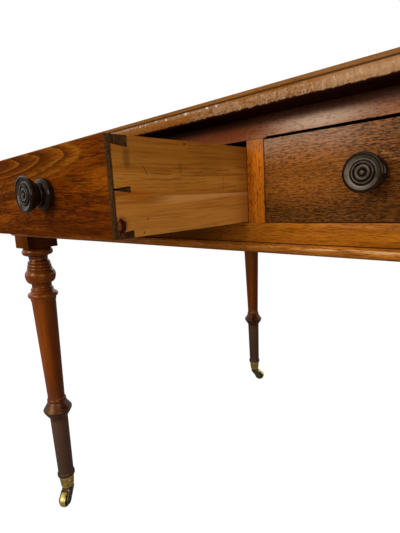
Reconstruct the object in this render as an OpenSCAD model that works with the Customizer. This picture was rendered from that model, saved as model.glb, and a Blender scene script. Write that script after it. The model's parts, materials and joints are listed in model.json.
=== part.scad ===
// Writing table with two drawers side by side, on four turned legs with brass castors.
// X runs along the front, Y from front to back and Z up from the floor, in millimetres.
// The left drawer stands open, as it is stored. The origin is on the floor, under the
// middle of the box round the whole table.

/* [Top] */
// Height of the upper face above the floor
table_h = 734; // [716:1:780]
// Thickness of the top
top_t = 15.6; // [14:0.2:24]
// How far the top stands over the frame on every side
top_overhang = 28.5; // [15:0.5:60]
// Depth of the front one of the two boards of the top
top_front_board_d = 438; // [300:1:560]
// Height of the fillet along the upper edge
top_fillet_h = 4.2; // [3:0.1:6]
// How far the fillet lies back from the rounded nose
top_fillet_set = 1.8; // [1:0.1:4]
// Depth of the small groove between the fillet and the nose
top_quirk = 1; // [0.5:0.1:2]

/* [Frame] */
// Length of the frame over its legs
frame_l = 1147; // [1000:1:1400]
// Depth of the frame over its legs
frame_d = 784; // [680:1:900]
// Height of the front rail above the drawers
top_rail_h = 19; // [16:0.5:26]
// Depth of the front rail above the drawers
top_rail_d = 50; // [44:1:56]
// Height of the drawer openings
opening_h = 74.5; // [74:0.5:100]
// Height of the front rail under the drawers
bottom_rail_h = 27.8; // [24:0.2:40]
// Thickness of the side and back rails
rail_t = 22; // [18:0.5:28]
// Width of the divider between the drawers
divider_w = 18; // [12:0.5:40]
// Depth of the divider
divider_d = 46; // [30:1:56]
// Thickness of a tenon
tenon_t = 9; // [6:0.5:12]
// Length of the tenons in the legs
tenon_l = 30; // [20:1:34]
// How far a tenon lies below and above the edges of its rail
tenon_inset = 5; // [3:0.5:7]
// Length of the short tenons of the divider, runners and kickers
stub_l = 8; // [5:0.5:12]
// Glue gap round a tenon
glue_gap = 0.1; // [0.05:0.05:0.3]

/* [Bead] */
// Height of the bead along the lower edge of the frame
bead_h = 9.8; // [5:0.1:12]
// How far the bead stands out
bead_out = 5; // [3:0.1:8]

/* [Runners] */
// Thickness of the runners
runner_t = 19; // [14:0.5:21]
// Width of the side runners and kickers
runner_w = 39; // [25:1:60]
// Width of the centre runner and kicker
centre_runner_w = 90; // [60:1:120]
// Height of the guides above the runners
guide_h = 19; // [10:1:30]

/* [Legs] */
// Side of the square block at the top of a leg
leg_w = 58; // [56:0.5:64]
// How far the block reaches below the frame
block_drop = 24.5; // [10:0.5:60]
// Radius of the shaft under the upper rings
shaft_top_r = 23.2; // [21:0.1:25]
// Radius of the shaft above the lower bulb
shaft_low_r = 16.9; // [15:0.1:18]
// Height of the lower bulb above the floor
bulb_z = 225.5; // [180:0.5:300]
// Radius of the leg just above its foot
ankle_r = 16.1; // [15:0.1:17.5]
// Radius of the lip round the foot
foot_lip_r = 18.3; // [17:0.1:20]

/* [Drawers] */
// Height of the left drawer
left_drawer_h = 68.4; // [55:0.2:72]
// Height of the right drawer
right_drawer_h = 72.4; // [55:0.2:72.6]
// Length of a drawer, front to back
drawer_l = 500; // [420:1:560]
// How far the left drawer stands open
left_drawer_out = 152; // [60:1:300]
// Thickness of a drawer front
front_t = 18; // [14:0.5:24]
// Thickness of a drawer side
side_t = 9.5; // [8:0.5:12]
// Thickness of a drawer back
back_t = 9.5; // [7:0.5:12]
// How far the drawer back stops below the sides
back_drop = 3; // [0:0.5:8]
// Thickness of a drawer bottom
bottom_t = 6.5; // [5:0.5:8]
// Height of the drawer bottom above the lower edge
bottom_rise = 8.5; // [7.5:0.5:12]
// Depth of the groove that holds the drawer bottom
groove_l = 4; // [3:0.5:5]
// Gap at each side of a drawer
drawer_side_gap = 0.75; // [0.4:0.05:1.5]
// Gap between a drawer and its runners
drawer_runner_gap = 0.7; // [0.3:0.05:0.9]
// Thickness of a drawer stop
stop_t = 5; // [3:0.5:6]
// Gap between a closed drawer front and its stops
stop_gap = 0.3; // [0.2:0.05:1]

/* [Dovetails] */
// Wood left in front of the tails
lap_t = 4.7; // [3:0.1:8]
// Height of the upper half pin, at the lap
top_pin_h = 6; // [3:0.2:12]
// Height of the lower half pin, at the lap
low_pin_h = 3.4; // [2:0.2:12]
// Height of the middle pin, at the lap
mid_pin_h = 0.8; // [0.6:0.2:5]
// How much one edge of a pin spreads over the length of the joint
pin_flare = 1.8; // [1:0.1:3]

/* [Knobs] */
// Radius of a knob's face
knob_r = 14.2; // [12:0.1:18]
// How far a knob stands out from the drawer front
knob_out = 19.5; // [16:0.5:30]
// Radius of the base flange
knob_base_r = 12.6; // [11:0.1:14]
// Radius of the knob's peg in the drawer front
knob_peg_r = 5.5; // [4:0.5:7]
// Distance of the left drawer's knobs from its ends
left_knob_in = 86; // [60:0.5:140]
// Distance of the right drawer's knobs from its ends
right_knob_in = 92; // [60:0.5:140]
// Gap round the peg
peg_gap = 0.05; // [0.02:0.01:0.1]

/* [Castors] */
// Height of a castor, from the floor to the leg's foot
castor_h = 66; // [63:0.5:78]
// Outer radius of the cup at its rim
cup_top_r = 16; // [15:0.1:16.6]
// Outer radius of the cup at its base
cup_low_r = 13; // [12.4:0.1:14.4]
// Height of the cup
cup_h = 30; // [27:0.5:31]
// Thickness of the cup's wall
cup_wall = 1.8; // [1.2:0.1:2.2]
// Thickness of the cup's base
cup_base_t = 5; // [3:0.5:7]
// Radius of a castor wheel
wheel_r = 15.5; // [13:0.5:16.5]
// Width of a castor wheel
wheel_w = 14; // [8:0.5:14.5]
// How far a wheel trails behind its pivot
trail = 17; // [14:0.5:22]
// Thickness of a fork's cheeks
cheek_t = 3; // [2:0.2:4]
// Radius of a fork's cheeks round the axle
cheek_r = 9.5; // [6:0.5:12]
// Radius of the fork's collar
collar_r = 11.4; // [10.8:0.1:12.4]
// Thickness of the fork's collar
collar_t = 4.4; // [3:0.1:6]
// Radius of the fork's pivot
pivot_r = 4; // [3:0.1:5]
// Radius of the axle
axle_r = 3; // [2:0.1:4]
// Radial clearance of the pivot and of the axle
turn_gap = 0.05; // [0.02:0.01:0.1]
// Clearance between faces that turn past each other
face_gap = 0.3; // [0.3:0.05:0.6]
// Angle of the front left castor, round its pivot
front_left_turn = -55; // [-180:1:180]
// Angle of the front right castor, round its pivot
front_right_turn = 205; // [-180:1:360]
// Angle of the back left castor, round its pivot
back_left_turn = 20; // [-180:1:180]
// Angle of the back right castor, round its pivot
back_right_turn = 118; // [-180:1:180]

/* [Fixings] */
// Radius of the wood screws that hold the top
screw_r = 2.2; // [1.5:0.1:3]
// Radius of those screws' heads
screw_head_r = 4.4; // [3.5:0.1:6]
// How deep those screws reach into the top
screw_bite = 10; // [6:0.5:11]
// Length of a wooden button along its rail
button_l = 40; // [25:1:60]
// How far a button stands out from its rail
button_d = 30; // [20:1:34]
// Thickness of a button
button_t = 16; // [12:0.5:20]
// Thickness of a button's tongue
tongue_t = 7; // [4:0.5:10]
// Length of a button's tongue
tongue_l = 9; // [5:0.5:12]
// Radius of the screws in a castor's cup
pin_screw_r = 1.5; // [1:0.1:2]
// Radius of those screws' heads
pin_head_r = 3; // [2.4:0.1:4]

/* [Hidden] */
$fn = 48;

// Heights, from the top down
frame_top = table_h - top_t;
opening_top = frame_top - top_rail_h;
opening_low = opening_top - opening_h;
frame_low = opening_low - bottom_rail_h;
block_low = frame_low - block_drop;

// Places across and along the frame, with the front plane of the frame at Y = 0
leg_x = frame_l / 2 - leg_w / 2;
leg_front_y = leg_w / 2;
leg_back_y = frame_d - leg_w / 2;
legs_inner_x = frame_l / 2 - leg_w;
rail_inner_x = frame_l / 2 - rail_t;
rail_inner_y = frame_d - rail_t;
rail_tenon_set = (rail_t - tenon_t) / 2;
frame_h = frame_top - frame_low;

// Section of the top
quirk_t = 0.8;
edge_ease = 0.6;
nose_r = (top_t - top_fillet_h) / 2;
top_split_y = top_front_board_d - top_overhang;

// Joints of the frame
top_haunch = 14;
rail_tenon_h = frame_h - bead_h - 2 * tenon_inset - top_haunch;
key_l = 24;
key_root_w = 20;
key_end_w = 28;
key_h = 12;
divider_shoulder = 8;
side_runner_x = -legs_inner_x + glue_gap;
stop_l = 35;
stop_d = 20;

// Places of the buttons and screws under the top
button_z = frame_top - button_t;
side_button_ys = [frame_d / 2 - frame_d / 5, frame_d / 2 + frame_d / 5];
back_button_xs = [for (k = [-6, -3, 3, 6]) legs_inner_x * k / 8];
rail_screw_xs = [for (k = [-6, -2, 2, 6]) legs_inner_x * k / 8];

// Rings and bulbs of the legs are as wide as the block
ring_r = leg_w / 2;

// The open drawer's knobs reach furthest forward and the top furthest back
front_y = (left_drawer_out + knob_out - frame_d - top_overhang) / 2;

// Each drawer
drawer_w = legs_inner_x - divider_w / 2 - 2 * drawer_side_gap;
drawer_x = (legs_inner_x + divider_w / 2) / 2;
drawer_low = opening_low + drawer_runner_gap;

// Castors
cup_ease = 4;
wheel_room = 1.2;
horn_r = collar_r - 2;
rivet_t = 1.7;
rivet_r = pivot_r + 3;
cup_low_z = castor_h - cup_h;
cup_floor_z = cup_low_z + cup_base_t;
collar_top_z = cup_low_z - face_gap;
spigot_low_z = cup_floor_z + face_gap + rivet_t + 2;
pin_screw_z = cup_low_z + cup_h * 0.66;

MAHOGANY = [0.42, 0.18, 0.07];
DARK_MAHOGANY = [0.30, 0.12, 0.05];
PINE = [0.66, 0.43, 0.19];
EBONISED = [0.08, 0.06, 0.05];
BRASS = [0.62, 0.48, 0.22];
STEEL = [0.45, 0.44, 0.42];

// Moves a piece from the frame's own place to where the table stands
module in_place() translate([0, front_y, 0]) children();

// The children, and their mirror image across the middle of the front
module both() {
    children();
    mirror([1, 0, 0]) children();
}

// Extrudes a shape drawn as (y, z) along X
module along_x(length) rotate([90, 0, 90]) linear_extrude(length) children();

// Extrudes a shape drawn as (x, z) along Y
module along_y(length) mirror([0, 1, 0]) rotate([90, 0, 0]) linear_extrude(length) children();

// Points along a rounded swelling, or a hollow where rise is negative
function swell(z0, z1, r0, r1, rise, steps = 8) = [
    for (i = [0 : steps]) [
        r0 + (r1 - r0) * i / steps + rise * sin(180 * i / steps),
        z0 + (z1 - z0) * (1 - cos(180 * i / steps)) / 2
    ]
];

// Top

// The moulded edge as (distance from the middle, height), from the underside up
function top_edge(half_w) = [
    for (a = [-90 : 15 : 90]) [
        half_w - nose_r * 0.6 + nose_r * 0.6 * cos(a),
        frame_top + nose_r + nose_r * sin(a)
    ],
    [half_w - top_fillet_set - top_quirk, table_h - top_fillet_h],
    [half_w - top_fillet_set - top_quirk, table_h - top_fillet_h + quirk_t],
    [half_w - top_fillet_set, table_h - top_fillet_h + quirk_t],
    [half_w - top_fillet_set, table_h - edge_ease],
    [half_w - top_fillet_set - edge_ease, table_h]
];

// The section of the top with that edge on both sides
function top_section(edge) = concat(edge, [for (i = [len(edge) - 1 : -1 : 0]) [-edge[i][0], edge[i][1]]]);

module top_whole() {
    half_l = frame_l / 2 + top_overhang;
    half_d = frame_d / 2 + top_overhang;
    translate([0, frame_d / 2, 0])
    intersection() {
        translate([-half_l, 0, 0]) along_x(2 * half_l) polygon(top_section(top_edge(half_d)));
        translate([0, -half_d, 0]) along_y(2 * half_d) polygon(top_section(top_edge(half_l)));
    }
}

module top_board(y0, y1) {
    color(MAHOGANY) in_place() difference() {
        intersection() {
            top_whole();
            translate([-frame_l, y0, 0]) cube([2 * frame_l, y1 - y0, 2 * table_h]);
        }
        top_screw_shafts(screw_r + glue_gap);
    }
}

module top_board_front() top_board(-top_overhang, top_split_y);
module top_board_back() top_board(top_split_y, frame_d + top_overhang);

// Rails and their joints

// The tenons of one side rail, at both ends, with a gap round them
module side_rail_tenons(grow) {
    x0 = -frame_l / 2 + rail_tenon_set;
    z0 = frame_low + bead_h + tenon_inset;
    for (y0 = [leg_w - tenon_l, frame_d - leg_w])
        translate([x0 - grow, y0 - grow, z0 - grow])
            cube([tenon_t + 2 * grow, tenon_l + 2 * grow, rail_tenon_h + 2 * grow]);
}

module side_rail() {
    color(MAHOGANY) in_place() difference() {
        union() {
            translate([-frame_l / 2, leg_w, frame_low]) cube([rail_t, frame_d - 2 * leg_w, frame_h]);
            side_rail_tenons(0);
        }
        side_buttons(glue_gap);
    }
}

module side_rail_left() side_rail();
module side_rail_right() mirror([1, 0, 0]) side_rail();

module back_rail_tenons(grow) {
    z0 = frame_low + bead_h + tenon_inset;
    both() translate([-legs_inner_x - tenon_l - grow, rail_inner_y + rail_tenon_set - grow, z0 - grow])
        cube([tenon_l + 2 * grow, tenon_t + 2 * grow, rail_tenon_h + 2 * grow]);
}

module back_rail() {
    color(MAHOGANY) in_place() difference() {
        union() {
            translate([-legs_inner_x, rail_inner_y, frame_low]) cube([2 * legs_inner_x, rail_t, frame_h]);
            back_rail_tenons(0);
        }
        back_buttons(glue_gap);
        runner_stubs(glue_gap);
        kicker_stubs(glue_gap);
    }
}

// Twin tenons at both ends of the rail under the drawers
module bottom_rail_tenons(grow) {
    for (y0 = [leg_w / 4 - tenon_t / 2, leg_w * 3 / 4 - tenon_t / 2])
        both() translate([-legs_inner_x - tenon_l - grow, y0 - grow, frame_low + tenon_inset - grow])
            cube([tenon_l + 2 * grow, tenon_t + 2 * grow, bottom_rail_h - 2 * tenon_inset + 2 * grow]);
}

module front_bottom_rail() {
    color(MAHOGANY) in_place() difference() {
        union() {
            translate([-legs_inner_x, 0, frame_low]) cube([2 * legs_inner_x, leg_w, bottom_rail_h]);
            bottom_rail_tenons(0);
        }
        divider_stubs(glue_gap);
        runner_stubs(glue_gap);
    }
}

// The dovetail keys that hold the rail above the drawers in the tops of the legs
module top_rail_keys(grow) {
    both() translate([-legs_inner_x, top_rail_d / 2, frame_top - key_h - grow])
        linear_extrude(key_h + 2 * grow)
            polygon([
                [0, -key_root_w / 2 - grow],
                [-key_l - grow, -key_end_w / 2 - grow],
                [-key_l - grow, key_end_w / 2 + grow],
                [0, key_root_w / 2 + grow]
            ]);
}

module front_top_rail() {
    color(MAHOGANY) in_place() difference() {
        union() {
            translate([-legs_inner_x, 0, opening_top]) cube([2 * legs_inner_x, top_rail_d, top_rail_h]);
            top_rail_keys(0);
        }
        divider_stubs(glue_gap);
        kicker_stubs(glue_gap);
        top_screw_shafts(screw_r + glue_gap);
        top_screw_heads(glue_gap);
    }
}

module divider_stubs(grow) {
    stub_w = divider_w / 2;
    stub_d = divider_d - 2 * divider_shoulder;
    for (z0 = [opening_low - stub_l, opening_top])
        translate([-stub_w / 2 - grow, divider_shoulder - grow, z0 - grow])
            cube([stub_w + 2 * grow, stub_d + 2 * grow, stub_l + 2 * grow]);
}

module front_divider() {
    color(MAHOGANY) in_place() union() {
        translate([-divider_w / 2, 0, opening_low]) cube([divider_w, divider_d, opening_h]);
        divider_stubs(0);
    }
}

// Bead round the lower edge of the frame, mitred at the corners

bead_half = bead_h / 2;
bead_section = [
    for (a = [-90 : 15 : 90])
        [bead_out * cos(a), bead_half + bead_half * sin(a)]
];

// One side of the bead, along X, with its back on the plane Y = 0
module bead_strip(length) {
    intersection() {
        translate([-length / 2 - bead_out, 0, 0]) along_x(length + 2 * bead_out)
            polygon([for (p = bead_section) [-p[0], p[1]]]);
        linear_extrude(bead_h)
            polygon([
                [-length / 2, 0],
                [-length / 2 - bead_out, -bead_out],
                [length / 2 + bead_out, -bead_out],
                [length / 2, 0]
            ]);
    }
}

module bead_front() color(MAHOGANY) in_place() translate([0, 0, frame_low]) bead_strip(frame_l);
module bead_back()
    color(MAHOGANY) in_place() translate([0, frame_d, frame_low]) rotate([0, 0, 180]) bead_strip(frame_l);
module bead_side() translate([-frame_l / 2, frame_d / 2, frame_low]) rotate([0, 0, -90]) bead_strip(frame_d);
module bead_left() color(MAHOGANY) in_place() bead_side();
module bead_right() color(MAHOGANY) in_place() mirror([1, 0, 0]) bead_side();

// Runners under the drawers, kickers above them and guides beside them

module runner_bar(x0, w, z0, t, y0) translate([x0, y0, z0]) cube([w, rail_inner_y - y0, t]);

// A short tenon at each end of a bar that spans from y0 to the back rail
module bar_stubs(x0, w, z0, t, y0, grow) {
    for (y = [y0 - stub_l, rail_inner_y])
        translate([x0 + w / 4 - grow, y - grow, z0 + t / 4 - grow])
            cube([w / 2 + 2 * grow, stub_l + 2 * grow, t / 2 + 2 * grow]);
}

module bars(z0, t, y0, grow) {
    both() bar_stubs(side_runner_x, runner_w, z0, t, y0, grow);
    bar_stubs(-centre_runner_w / 2, centre_runner_w, z0, t, y0, grow);
}
module runner_stubs(grow) bars(opening_low - runner_t, runner_t, leg_w, grow);
module kicker_stubs(grow) bars(opening_top, top_rail_h, top_rail_d, grow);

module bar(x0, w, z0, t, y0) {
    color(PINE) in_place() union() {
        runner_bar(x0, w, z0, t, y0);
        bar_stubs(x0, w, z0, t, y0, 0);
    }
}
module runner_left() bar(side_runner_x, runner_w, opening_low - runner_t, runner_t, leg_w);
module runner_right() mirror([1, 0, 0]) runner_left();
module runner_centre()
    bar(-centre_runner_w / 2, centre_runner_w, opening_low - runner_t, runner_t, leg_w);
module kicker_left() bar(side_runner_x, runner_w, opening_top, top_rail_h, top_rail_d);
module kicker_right() mirror([1, 0, 0]) kicker_left();
module kicker_centre() bar(-centre_runner_w / 2, centre_runner_w, opening_top, top_rail_h, top_rail_d);

module guide_left() {
    color(PINE) in_place() translate([-rail_inner_x, leg_w, opening_low - runner_t])
        cube([rail_inner_x - legs_inner_x, frame_d - 2 * leg_w, runner_t + guide_h]);
}
module guide_right() mirror([1, 0, 0]) guide_left();
module guide_centre() {
    color(PINE) in_place() translate([-divider_w / 2, divider_d, opening_low])
        cube([divider_w, rail_inner_y - divider_d, guide_h]);
}

// Two small blocks behind each closed drawer front
module drawer_stops() {
    color(PINE) in_place() for (x = [-1, 1]) for (k = [-1, 1])
        translate([x * drawer_x + k * drawer_w / 4 - stop_l / 2, front_t + stop_gap, opening_low])
            cube([stop_l, stop_d, stop_t]);
}

// Buttons and screws that hold the top

// A button with its back on the plane X = 0 and its tongue behind that plane
module button(grow) {
    translate([-tongue_l - grow, -button_l / 2 - grow, button_z - grow])
        cube([tongue_l + 2 * grow, button_l + 2 * grow, tongue_t + 2 * grow]);
    if (grow == 0)
        translate([0, -button_l / 2, button_z]) cube([button_d, button_l, button_t]);
}
module side_buttons(grow) for (y = side_button_ys) translate([-rail_inner_x, y, 0]) button(grow);
module back_buttons(grow)
    for (x = back_button_xs) translate([x, rail_inner_y, 0]) rotate([0, 0, -90]) button(grow);

// The children at each place of a screw in a button
module at_button_screws() {
    both() for (y = side_button_ys) translate([-rail_inner_x + button_d / 2, y, button_z]) children();
    for (x = back_button_xs) translate([x, rail_inner_y - button_d / 2, button_z]) children();
}
module at_rail_screws() for (x = rail_screw_xs) translate([x, top_rail_d / 2, opening_top]) children();

module top_screw_shafts(r) {
    at_button_screws() cylinder(h = button_t + screw_bite, r = r);
    at_rail_screws() cylinder(h = top_rail_h + screw_bite, r = r);
}
module top_screw_heads(grow) {
    at_button_screws() cylinder(h = screw_head_r, r1 = screw_head_r + grow, r2 = grow);
    at_rail_screws() cylinder(h = screw_head_r, r1 = screw_head_r + grow, r2 = grow);
}

module top_buttons() {
    color(PINE) in_place() difference() {
        union() {
            both() side_buttons(0);
            back_buttons(0);
        }
        top_screw_shafts(screw_r + glue_gap);
        top_screw_heads(glue_gap);
    }
}

module top_screws() {
    color(STEEL) in_place() difference() {
        union() {
            top_screw_shafts(screw_r);
            top_screw_heads(0);
        }
        at_button_screws() screw_slot();
        at_rail_screws() screw_slot();
    }
}
module screw_slot() translate([-screw_head_r, -0.4, -1]) cube([2 * screw_head_r, 0.8, 2]);

// Legs

// Outline of the turned part as (radius, height), from the block down to the foot
function leg_outline() = concat(
    [[0, block_low + 4], [18, block_low + 4], [18, block_low]],
    swell(block_low, block_low - 15.5, ring_r - 8.5, ring_r - 6, 7.2),
    swell(block_low - 17, block_low - 27, 19.6, 19.2, -1.8),
    swell(block_low - 27.5, block_low - 33, 19.8, 20.6, 0.9),
    swell(block_low - 33.5, block_low - 39.5, 21, 22, 1.2),
    swell(block_low - 40, block_low - 45, 22.6, 23.4, 1),
    swell(block_low - 46, block_low - 72, ring_r - 4.6, ring_r - 9.2, 6.75, 12),
    swell(block_low - 72.5, block_low - 81, 19.6, 19.4, -0.7),
    swell(block_low - 81.5, block_low - 86, 19.8, 20.8, 1.3),
    [[ring_r - 4.5, block_low - 91]],
    swell(block_low - 91.5, block_low - 101, ring_r - 3.4, ring_r - 3.4, 3.3),
    [[shaft_top_r + 1.2, block_low - 103], [shaft_top_r + 1.2, block_low - 106.5]],
    [[shaft_top_r, block_low - 110], [shaft_low_r, bulb_z + 26]],
    swell(bulb_z + 24, bulb_z + 18, shaft_low_r + 0.8, shaft_low_r + 1.4, 1.3),
    [
        for (p = [[17, -9.9], [14.4, -8.9], [10.4, -6.8], [6.8, -4.4], [3.4, -2.1], [1.2, -0.6], [-0.2, 0]])
            [ring_r + p[1], bulb_z + p[0]]
    ],
    [
        for (p = [[-1.8, -0.3], [-4.8, -1.6], [-8.6, -3.7], [-12.6, -6.3], [-16.4, -8.9], [-18.8, -10.2]])
            [ring_r + p[1], bulb_z + p[0]]
    ],
    [
        [shaft_low_r + 1.2, bulb_z - 20.5],
        [ankle_r, castor_h + 9],
        [foot_lip_r, castor_h + 5],
        [foot_lip_r, castor_h],
        [cup_top_r - cup_wall - glue_gap, castor_h],
        [cup_inner_r(spigot_low_z) - glue_gap, spigot_low_z],
        [0, spigot_low_z]
    ]
);

// Outer radius of the cup's cone at a height above its base, and inner radius at a height z
function cup_r(rise) = cup_low_r + (cup_top_r - cup_low_r) * rise / cup_h;
function cup_inner_r(z) = cup_r(z - cup_low_z) - cup_wall;

module leg(x, y) {
    color(DARK_MAHOGANY) in_place() difference() {
        union() {
            translate([x - leg_w / 2, y - leg_w / 2, block_low]) cube([leg_w, leg_w, frame_top - block_low]);
            translate([x, y, 0]) rotate_extrude() polygon(leg_outline());
        }
        both() side_rail_tenons(glue_gap);
        back_rail_tenons(glue_gap);
        bottom_rail_tenons(glue_gap);
        top_rail_keys(glue_gap);
        translate([x, y, 0]) cup_screws(pin_screw_r);
    }
}
module leg_front_left() leg(-leg_x, leg_front_y);
module leg_front_right() leg(leg_x, leg_front_y);
module leg_back_left() leg(-leg_x, leg_back_y);
module leg_back_right() leg(leg_x, leg_back_y);

// Drawers, drawn round the middle of the face's lower edge

// Tails at the front end of a side: the wood between the pins, as (y, z)
module front_tails(h, grow) {
    mid = low_pin_h + (h - low_pin_h - top_pin_h) / 2;
    tail(lap_t - grow, front_t + grow, low_pin_h - grow, mid - mid_pin_h / 2 + grow);
    tail(lap_t - grow, front_t + grow, mid + mid_pin_h / 2 - grow, h - top_pin_h + grow);
}

// Tails at the back end of a side, which point the other way
module back_tails(h, grow) {
    z0 = bottom_rise + bottom_t + low_pin_h;
    z1 = h - back_drop - low_pin_h;
    mid = (z0 + z1) / 2;
    translate([drawer_l - back_t, 0]) mirror([1, 0]) translate([-back_t, 0]) {
        tail(-grow, back_t + grow, z0 - grow, mid - mid_pin_h + grow);
        tail(-grow, back_t + grow, mid + mid_pin_h - grow, z1 + grow);
    }
}

// One tail, wide at y0 and narrow at y1
module tail(y0, y1, z0, z1) polygon([[y0, z0], [y1, z0 + pin_flare], [y1, z1 - pin_flare], [y0, z1]]);

// The space of the drawer bottom, which is also the groove that holds it
module bottom_space(grow) {
    half = drawer_w / 2 - side_t + groove_l;
    translate([-half - grow, front_t - groove_l - grow, bottom_rise - grow])
        cube([2 * half + 2 * grow, drawer_l - front_t + groove_l + 2 * grow, bottom_t + 2 * grow]);
}

module drawer_front(h, knob_in) {
    color(MAHOGANY) difference() {
        translate([-drawer_w / 2, 0, 0]) cube([drawer_w, front_t, h]);
        both() translate([-drawer_w / 2 - 1, 0, 0]) along_x(side_t + 1 + glue_gap) front_tails(h, glue_gap);
        bottom_space(glue_gap);
        both() at_knob(h, knob_in) rotate([-90, 0, 0])
            cylinder(h = front_t + 1, r = knob_peg_r + peg_gap);
    }
}

module drawer_side(h) {
    color(PINE) difference() {
        translate([-drawer_w / 2, 0, 0]) along_x(side_t) {
            front_tails(h, 0);
            difference() {
                translate([front_t, 0]) square([drawer_l - front_t, h]);
                difference() {
                    translate([drawer_l - back_t, bottom_rise + bottom_t])
                        square([back_t + 1, h - back_drop - bottom_rise - bottom_t]);
                    back_tails(h, 0);
                }
            }
        }
        bottom_space(glue_gap);
    }
}

module drawer_back(h) {
    z0 = bottom_rise + bottom_t + glue_gap;
    color(PINE) difference() {
        translate([-drawer_w / 2, drawer_l - back_t, z0])
            cube([drawer_w, back_t, h - back_drop - glue_gap - z0]);
        both() translate([-drawer_w / 2 - 1, 0, 0]) along_x(side_t + 1 + glue_gap) back_tails(h, glue_gap);
    }
}

module drawer_bottom() color(PINE) bottom_space(0);

// The place of the outer knob on a drawer front
module at_knob(h, knob_in) translate([-drawer_w / 2 + knob_in, 0, h / 2]) children();

// A drawer's own place: side is -1 on the left and 1 on the right
module left_drawer() in_place() translate([-drawer_x, -left_drawer_out, drawer_low]) children();
module right_drawer() in_place() translate([drawer_x, 0, drawer_low]) mirror([1, 0, 0]) children();

module left_drawer_front() left_drawer() drawer_front(left_drawer_h, left_knob_in);
module left_drawer_side_outer() left_drawer() drawer_side(left_drawer_h);
module left_drawer_side_inner() left_drawer() mirror([1, 0, 0]) drawer_side(left_drawer_h);
module left_drawer_back() left_drawer() drawer_back(left_drawer_h);
module left_drawer_bottom() left_drawer() drawer_bottom();
module left_knob_outer() left_drawer() at_knob(left_drawer_h, left_knob_in) knob();
module left_knob_inner() left_drawer() mirror([1, 0, 0]) at_knob(left_drawer_h, left_knob_in) knob();
module right_drawer_front() right_drawer() drawer_front(right_drawer_h, right_knob_in);
module right_drawer_side_outer() right_drawer() drawer_side(right_drawer_h);
module right_drawer_side_inner() right_drawer() mirror([1, 0, 0]) drawer_side(right_drawer_h);
module right_drawer_back() right_drawer() drawer_back(right_drawer_h);
module right_drawer_bottom() right_drawer() drawer_bottom();
module right_knob_outer() right_drawer() at_knob(right_drawer_h, right_knob_in) knob();
module right_knob_inner() right_drawer() mirror([1, 0, 0]) at_knob(right_drawer_h, right_knob_in) knob();

// Knob: outline as (radius, distance out from the drawer front)
function knob_outline() = concat(
    [[0, -front_t], [knob_peg_r, -front_t], [knob_peg_r, 0]],
    swell(0, knob_out * 0.34, knob_base_r - 1.8, knob_base_r - 2.4, 2.1),
    [[knob_base_r * 0.68, knob_out * 0.36]],
    swell(knob_out * 0.38, knob_out * 0.48, knob_base_r * 0.68, knob_base_r * 0.67, 0.8, 6),
    [[knob_base_r * 0.62, knob_out * 0.51]],
    swell(knob_out * 0.53, knob_out - 2.8, knob_base_r * 0.64, knob_r - 0.7, 1.2, 8),
    swell(knob_out - 2.6, knob_out, knob_r - 0.6, knob_r - 1.2, 0.9),
    [
        for (p = [
            [0.88, 0], [0.85, 0.7], [0.77, 1.4], [0.67, 1.7], [0.57, 1.5], [0.53, 0.9], [0.5, 0.8],
            [0.47, 1.3], [0.42, 1.2], [0.32, 0.8], [0.24, 0.9], [0.2, 1.4], [0.15, 1.4], [0.12, 0.8],
            [0.06, 0.4], [0, 0.3]
        ])
            [knob_r * p[0], knob_out - p[1]]
    ]
);

module knob() color(EBONISED) rotate([90, 0, 0]) rotate_extrude() polygon(knob_outline());

// Castors, drawn round the leg's axis with the wheel trailing towards X

module cup_screws(r) {
    for (k = [-1, 1]) translate([0, 0, pin_screw_z]) rotate([0, 90 * k, 0])
        translate([0, 0, cup_inner_r(pin_screw_z) - 8]) cylinder(h = 8 + cup_wall, r = r);
}

module cup(x, y) {
    color(BRASS) in_place() translate([x, y, 0]) difference() {
        union() {
            translate([0, 0, cup_low_z]) cylinder(h = cup_ease, r1 = collar_r, r2 = cup_r(cup_ease));
            translate([0, 0, cup_low_z + cup_ease])
                cylinder(h = cup_h - cup_ease, r1 = cup_r(cup_ease), r2 = cup_top_r);
            translate([0, 0, castor_h - 3]) cylinder(h = 3, r = cup_top_r + 0.3);
        }
        translate([0, 0, cup_floor_z])
            cylinder(h = cup_h - cup_base_t, r1 = cup_inner_r(cup_floor_z), r2 = cup_inner_r(castor_h));
        translate([0, 0, castor_h]) cylinder(h = 1, r = cup_inner_r(castor_h));
        translate([0, 0, cup_low_z - 1]) cylinder(h = cup_base_t + 2, r = pivot_r + turn_gap);
        for (k = [-1, 1]) translate([0, 0, pin_screw_z]) rotate([0, 90 * k, 0])
            cylinder(h = cup_top_r + 2, r = pin_screw_r + peg_gap);
    }
}

module castor_screws() {
    color(BRASS) in_place() for (x = [-leg_x, leg_x]) for (y = [leg_front_y, leg_back_y])
        for (k = [-1, 1]) translate([x, y, pin_screw_z]) rotate([0, 90 * k, 0]) {
            reach = cup_inner_r(pin_screw_z) + cup_wall;
            translate([0, 0, reach - cup_wall - 7.9]) cylinder(h = cup_wall + 8.3, r = pin_screw_r);
            translate([0, 0, reach + 0.35]) cylinder(h = 1.2, r1 = pin_head_r, r2 = pin_head_r * 0.6);
        }
}

// A fork's outline as (x, z), from the collar down to the axle
module horn_shape() {
    hull() {
        translate([trail, wheel_r]) circle(r = cheek_r);
        translate([-horn_r, collar_top_z - collar_t]) square([2 * horn_r, collar_t / 2]);
    }
}

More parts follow.
